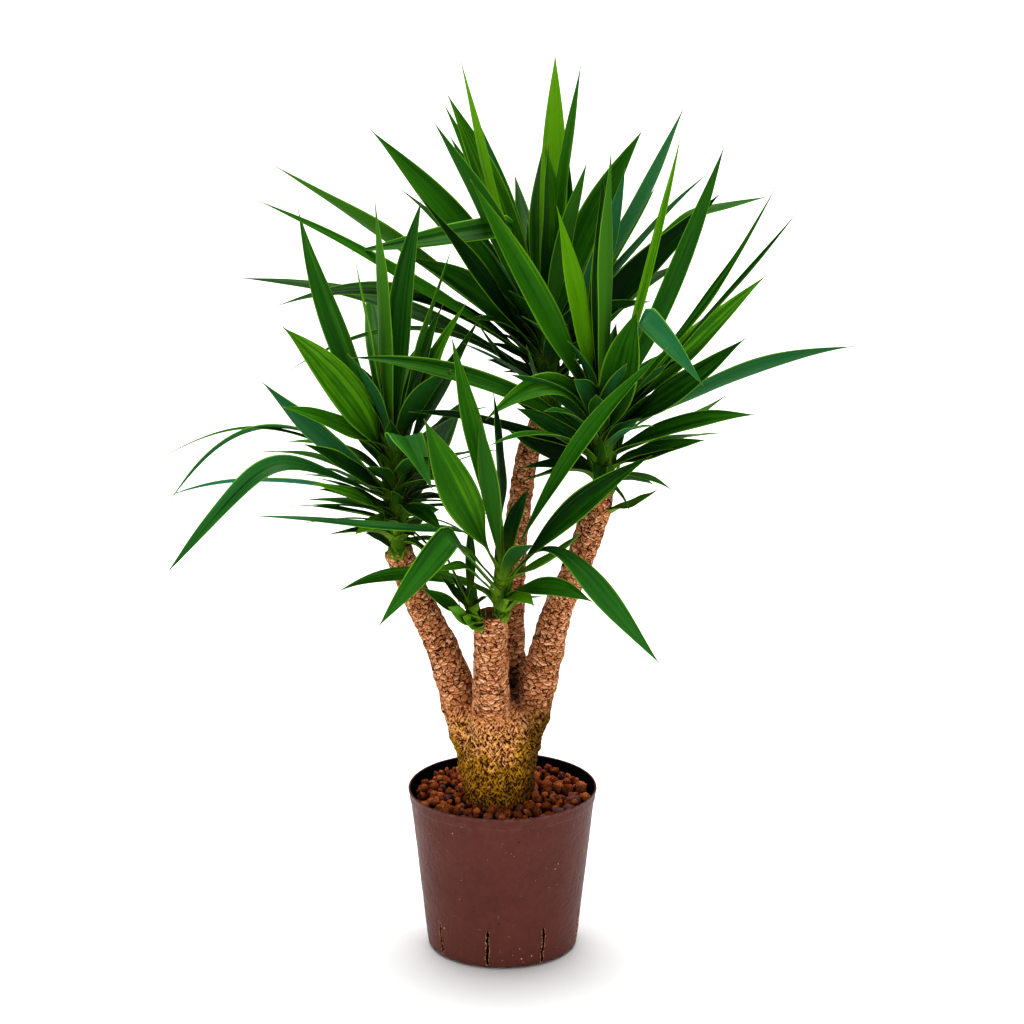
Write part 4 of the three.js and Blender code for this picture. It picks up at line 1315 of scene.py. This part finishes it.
def blade_outline(s, length, clasp, fullness, waist):
    """Half width of a blade as a share of its widest, from the clasping foot to the point."""
    widest = 0.46 + 0.04 * waist
    foot = 0.34 - 0.08 * waist
    grown = foot + (1 - foot) * np.sin(math.pi / 2 * np.clip(s / widest, 0, 1)) ** waist
    left = np.cos(math.pi / 2 * np.clip((s - widest) / (1 - widest), 0, 1))
    outline = np.where(s < widest, grown, left ** fullness)
    clasping = np.exp(-(s * length / min(13, 0.36 * length)) ** 2) * clasp
    return np.maximum(outline, 0.025) + clasping


def blade_directions(draw, s, centre, headings, twist):
    """Directions across a blade and out of its face, twisted along its way."""
    along = unit(np.gradient(centre, axis=0))
    before, after = headings
    level = np.radians(before + (after - before) * smooth(2 * s - 0.5) + 90)
    across = np.stack([np.cos(level), np.sin(level), 0 * level], axis=-1)
    face = unit(np.cross(along, across))
    across = np.cross(face, along)
    turn = np.radians(twist) * smooth(s / BLADE_TURNED_AT) + np.radians(6 * draw.normal()) * s ** 2
    cosine, sine = np.cos(turn)[:, None], np.sin(turn)[:, None]
    return across * cosine + face * sine, face * cosine - across * sine


def blade_relief(draw, s, run, u, half, phase):
    """Height over a blade's face: a channel along the middle, pleats, and waves at the edges."""
    channel = 0.14 + 0.12 * draw.random() + 0.5 * np.exp(-(run / 20) ** 2) + 0.05 * s
    curl = (channel * half)[:, None] * (np.abs(u) ** 1.2 - 0.4)
    pleats = 0.3 * (np.minimum(half, 10)[:, None] / 10) * np.cos(2 * math.pi * 2.5 * u + phase[2])
    swing = 2 * math.pi * (1.6 + draw.random()) * s[:, None] + phase[3] + 1.3 * np.sign(u)
    waves = 0.07 * half[:, None] * np.abs(u) ** 3 * np.sin(swing)
    return curl + pleats * smooth(s / 0.15)[:, None] + waves


def blade_marks(draw, s, length, u, tone, wax_and_sheen):
    """Marks of a blade's points: place on the blade, kind of blade, and paleness, dryness and depth, the
    last being the share of painted shade near the blade's foot.
    """
    run = s * length
    sides = np.concatenate([u, u[::-1]])
    below = np.concatenate([0 * u, 0 * u + 1])
    place = np.stack(np.broadcast_arrays(sides[None], s[:, None], below[None]), axis=-1).reshape(-1, 3)
    kind = np.tile([tone, draw.random(), wax_and_sheen], (len(place), 1))
    reach = min(24, max(14, 0.32 * length))
    pale = (0.75 + 0.15 * tone) * np.exp(-(run / reach) ** 2) + 0.12 * tone * np.exp(-(run / 70) ** 2)
    dry = smooth((run - length + 5) / 3)
    # The third tint is painted shade, strongest at the blade's foot
    tint = np.repeat(np.stack([pale, dry, np.exp(-run / 60)], axis=-1), len(sides), axis=0)
    return np.hstack([place, kind, tint])


def blade(draw, line, width, twist, headings, tone, wax_and_sheen, stations, columns, waist=1.1):
    """Points, faces and marks of one blade: a thin channelled strap with two faces."""
    s, centre, length = evenly_spaced(line, stations)
    across, face = blade_directions(draw, s, centre, headings, twist)
    phase = draw.random(4) * 2 * math.pi
    away = s * (1 - 0.5 * s) * min(length / FULL_LENGTH, 1.2)
    centre = centre + across * (1.8 * away * np.sin(2.2 * math.pi * s + phase[0]))[:, None]
    centre = centre + face * (1.5 * away * np.sin(3.1 * math.pi * s + phase[1]))[:, None]
    u = np.linspace(1, -1, columns)
    clasp = max(0.0, 8.5 - 0.15 * width) / (0.5 * width)
    half = 0.5 * width * blade_outline(s, length, clasp, 0.95 + 0.35 * draw.random(), waist)
    height = blade_relief(draw, s, s * length, u, half, phase)
    top = centre[:, None] + across[:, None] * (half[:, None] * u)[..., None]
    top = top + face[:, None] * height[..., None]
    thick = (FOOT_THICKNESS - THINS_BY * s)[:, None] * (1 - 0.55 * u ** 2)
    low = top - face[:, None] * thick[..., None]
    points = np.concatenate([top, low[:, ::-1]], axis=1)
    marks = blade_marks(draw, s, length, u, tone, wax_and_sheen)
    return points.reshape(-1, 3), ring_faces(stations, 2 * columns), marks


def far_blades(shoot, seed):
    """Blades on the far side, low and long at the bottom of the stem, steep and young at its top."""
    numbers = repeatable(seed)
    rows = []
    for i in range(shoot["more"]):
        share = 0.2 + 0.75 * ((i * 0.618) % 1)
        heading = np.interp((i + 0.5) / shoot["more"], (0, 1), shoot["sweep"]) - 4 + 8 * next(numbers)
        lift = np.interp(share, (0, 1), shoot["lifts"]) - 4 + 8 * next(numbers)
        form = [low + (high - low) * next(numbers) for low, high in FAR_RANGES]
        # The tone rises from low at the stem's foot to higher at its top, partly as painted shade low in
        # the shoot
        rows.append([100 * share, heading, lift, *form, 0.05 + 0.25 * share, 0])
    return rows


def stem_ends(shoot):
    """The stem's foot and crown."""
    return np.array(shoot["foot"], float), np.array(shoot["crown"], float)


def place_on_stem(shoot, share):
    """The point at a share of the stem's length."""
    foot, crown = stem_ends(shoot)
    return foot + (crown - foot) * share


def stem(shoot):
    """Points, faces and marks of the green stem under the blades' feet."""
    foot, crown = stem_ends(shoot)
    length = np.linalg.norm(crown - foot)
    s = np.linspace(-(7 + shoot["lean"]) / length, 1 + 0.9 * shoot["radius"] / length, 40)
    line = foot + (crown - foot) / length * (s * length)[:, None]
    line[:, 1] -= shoot["lean"] * np.exp(-(s * length / 16) ** 2)
    share = np.interp(s, *zip(*STEM_OUTLINE))
    radius = shoot["radius"] * share * (1 + 0.05 * np.sin(s * length / 3.1))
    tube, faces = cane_tube(np.column_stack([line, radius]), 24)
    # The last mark gives the stem the full share of painted shade
    marks = [0.0, 0.07, 0.0, 0.5, 0.5, 0, 0.45, 0, 1.0]
    return tube, faces, np.tile(marks, (len(tube), 1))


def blade_line(shoot, share, heading, lift, reach, bow):
    """The middle line of a blade, which leaves the stem upright and then bends out."""
    foot, crown = stem_ends(shoot)
    axis = (crown - foot) / np.linalg.norm(crown - foot)
    root_out = BLADE_ROOT_OUT * shoot["radius"]
    line = arced_line(place_on_stem(shoot, share), root_out, heading, lift, reach, bow)
    drop = 9 * (1 - math.sin(math.radians(max(lift, 0)))) * np.exp(-(run_along(line) / 12) ** 2)
    return line - axis * drop[:, None]


def short_blades(shoot, draw):
    """Short blades that crowd round the stem, flat at its foot and steep at its crown, dark partly as
    painted shade.
    """
    parts = []
    for i in range(shoot["fill"]):
        share = 0.03 + 0.92 * (i + draw.random()) / shoot["fill"]
        heading = (LEAF_TURN * i + 25 * draw.random()) % 360
        lift = np.interp(share, (0, 0.5, 1), (2, 28, 64)) + 10 * draw.normal()
        reach = np.interp(share, (0, 0.4, 1), (55, 95, 120)) * (0.7 + 0.6 * draw.random())
        reach *= 0.55 + 0.05 * shoot["radius"]
        line = blade_line(shoot, share, heading, lift, reach, 3 + 0.1 * reach * draw.random())
        width = (9 + 4 * shoot["feet"]) + 0.07 * reach * (0.6 + draw.random())
        twist = 25 * draw.normal()
        # Low tones, partly painted shade deep in the shoot
        tone = 0.1 + 0.25 * draw.random()
        wax_and_sheen = 0.3 * draw.random()
        parts.append(blade(draw, line, width, twist, (heading, heading), tone, wax_and_sheen, *SHORT_GRID))
    return parts


def leaf_feet(shoot, draw):
    """Clasping feet of leaves in a spiral round the stem, and lobes that hang over the cane's edge."""
    foot, crown = stem_ends(shoot)
    radius, feet = shoot["radius"], shoot["feet"]
    count = int(np.linalg.norm(crown - foot) / 3 * feet)
    parts = []
    for i in range(count):
        heading = (LEAF_TURN * i + 20 * draw.random()) % 360
        reach = (26 + 30 * draw.random()) * (0.6 + 0.045 * radius) * feet
        lift = 76 - 18 * feet + 20 * draw.random()
        root = place_on_stem(shoot, 0.93 * (i + 0.6) / count)
        line = arced_line(root, 0.75 * radius, heading, lift, reach, -3)
        width = (1.1 + 0.4 * draw.random()) * radius * feet
        tone = 0.25 + 0.55 * draw.random()
        parts.append(blade(draw, line, width, 0, (heading, heading), tone, 0, *FOOT_GRID))
    root = foot + (0, -0.8 * shoot["lean"], 3)
    for heading in LOBE_HEADINGS:
        reach = (13 + 5 * draw.random()) * feet
        line = arced_line(root, 0.45 * radius, heading, -64, reach, 5)
        parts.append(blade(draw, line, 1.1 * radius * feet, 0, (heading, heading), 0.9, 0, *FOOT_GRID))
    return parts


def build_shoot(settings, shoot, number, finish):
    """One shoot with its stem and all its blades as one piece."""
    draw = np.random.RandomState(100 * settings.seed + number)
    columns = settings.across
    parts = [stem(shoot)]
    rows = shoot["blades"] + far_blades(shoot, 7 + number)
    for share, heading, lift, reach, width, bow, twist, tone, wax_and_sheen in rows:
        line = blade_line(shoot, share / 100, heading, lift, reach, bow)
        stations = int(settings.stations * min(1, max(0.45, reach / 260)))
        parts.append(blade(draw, line, width, twist, (heading, heading), tone, wax_and_sheen, stations, columns,
                           shoot["waist"]))
    for share, width, twist, before, after, tone, wax_and_sheen, ease in shoot["creased"]:
        root = place_on_stem(shoot, share / 100)
        line = creased_line(root, BLADE_ROOT_OUT * shoot["radius"], before, after, ease)
        parts.append(blade(draw, line, width, twist, (before[0], after[0]), tone, wax_and_sheen,
                           int(CREASED_STATIONS * settings.stations), columns,
                           CREASED_WAIST * shoot["waist"]))
    parts += short_blades(shoot, draw) + leaf_feet(shoot, draw)
    points, faces = joined([part[:2] for part in parts])
    marks = np.vstack([part[2] for part in parts])
    labels = {"leaf_place": marks[:, :3], "leaf_kind": marks[:, 3:6], "leaf_tint": marks[:, 6:]}
    return add_piece(shoot["name"], points * MM, faces, finish, labels)


# Operators

# Half the floor's side, which is wide enough that its edge is never seen, and how far the camera stands
# to the right of the pot's middle
FLOOR_SIDE = 60.0
CAMERA_ASIDE = 0.0113


class YUCCA_OT_pot(bpy.types.Operator):
    """Build the grow pot with its rim, collar and ragged drainage slits"""
    bl_idname = "yucca.pot"
    bl_label = "Grow Pot"

    def execute(self, context):
        piece = build_pot(context.scene.yucca_pot)
        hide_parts("pot")
        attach(piece, "root")
        return {"FINISHED"}


class YUCCA_OT_granules(bpy.types.Operator):
    """Fill the pot with settled baked clay granules"""
    bl_idname = "yucca.granules"
    bl_label = "Clay Granules"

    def execute(self, context):
        piece = build_granules(context.scene.yucca_granules, context.scene.yucca_pot)
        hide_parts("granules")
        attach(piece, "root")
        return {"FINISHED"}


class YUCCA_OT_trunk(bpy.types.Operator):
    """Build the stump and its canes with scarred bark and cut tops"""
    bl_idname = "yucca.trunk"
    bl_label = "Canes and Stump"

    def execute(self, context):
        piece = build_trunk(context.scene.yucca_trunk)
        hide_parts("trunk")
        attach(piece, "root")
        return {"FINISHED"}


class YUCCA_OT_shoots(bpy.types.Operator):
    """Grow the five leafy shoots on the cut canes"""
    bl_idname = "yucca.shoots"
    bl_label = "Leafy Shoots"

    def execute(self, context):
        settings = context.scene.yucca_leaves
        finish = leaf_finish(settings)
        for number, shoot in enumerate(SHOOTS):
            piece = build_shoot(settings, shoot, number, finish)
            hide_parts(shoot["node"])
            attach(piece, "root")
        return {"FINISHED"}


class YUCCA_OT_stage(bpy.types.Operator):
    """Set the pale floor, the soft studio light and the camera"""
    bl_idname = "yucca.stage"
    bl_label = "Studio Stage"

    def execute(self, context):
        stage = context.scene.yucca_stage
        scene = context.scene
        scene.view_settings.view_transform = "Standard"
        scene.view_settings.look = "Medium High Contrast"
        corners = [(FLOOR_SIDE * x, FLOOR_SIDE * y, 0) for x, y in ((-1, -1), (1, -1), (1, 1), (-1, 1))]
        floor = add_piece("studio_floor", corners, [[0, 1, 2, 3]], floor_finish())
        world = bpy.data.worlds.new("studio_sky")
        world.use_nodes = True
        sky = world.node_tree.nodes["Background"]
        sky.inputs["Color"].default_value = (1, 1, 1, 1)
        seen = world.node_tree.nodes.new("ShaderNodeLightPath").outputs["Is Camera Ray"]
        feed(world.node_tree, sky.inputs["Strength"], blended(world.node_tree, seen, stage.sky, 1.0))
        scene.world = world
        add_soft_light("overhead_light", (-13, -1, 0), 50, stage.key)
        add_soft_light("left_light", (84, 0, -42), 60, stage.fill)
        add_soft_light("right_light", (84, 0, 46), 60, 0.9 * stage.fill)
        lens = bpy.data.cameras.new("studio_camera")
        lens.lens = stage.lens
        lens.sensor_width = 36
        lens.sensor_fit = "HORIZONTAL"
        camera = bpy.data.objects.new("studio_camera", lens)
        camera.location = (CAMERA_ASIDE, -stage.distance, stage.height)
        camera.rotation_euler = (math.pi / 2 - stage.pitch, 0, 0)
        scene.collection.objects.link(camera)
        scene.camera = camera
        return {"FINISHED"}


def add_soft_light(name, turn, spread, strength):
    """An even light from far away, turned and spread by so many degrees, with blurred shadows."""
    light = bpy.data.lights.new(name, "SUN")
    light.angle = math.radians(spread)
    light.energy = strength
    lamp = bpy.data.objects.new(name, light)
    lamp.rotation_euler = [math.radians(angle) for angle in turn]
    bpy.context.scene.collection.objects.link(lamp)


OPERATORS = (YUCCA_OT_pot, YUCCA_OT_granules, YUCCA_OT_trunk, YUCCA_OT_shoots, YUCCA_OT_stage)


class YUCCA_PT_panel(bpy.types.Panel):
    bl_label = "Potted Yucca"
    bl_space_type = "VIEW_3D"
    bl_region_type = "UI"
    bl_category = "Yucca"

    def draw(self, context):
        for group, operator in zip(SETTINGS, OPERATORS):
            settings = getattr(context.scene, group)
            box = self.layout.box()
            for name in settings.__annotations__:
                box.prop(settings, name)
            box.operator(operator.bl_idname)


def register():
    for group in SETTINGS.values():
        bpy.utils.register_class(group)
    for name, group in SETTINGS.items():
        setattr(bpy.types.Scene, name, PointerProperty(type=group))
    for kind in (*OPERATORS, YUCCA_PT_panel):
        bpy.utils.register_class(kind)


def unregister():
    for kind in reversed((*OPERATORS, YUCCA_PT_panel)):
        bpy.utils.unregister_class(kind)
    for name in reversed(SETTINGS):
        delattr(bpy.types.Scene, name)
    for group in reversed(SETTINGS.values()):
        bpy.utils.unregister_class(group)


def main():
    register()
    bpy.ops.yucca.stage()
    bpy.ops.yucca.pot()
    bpy.ops.yucca.granules()
    bpy.ops.yucca.trunk()
    bpy.ops.yucca.shoots()


if __name__ == "__main__":
    main()
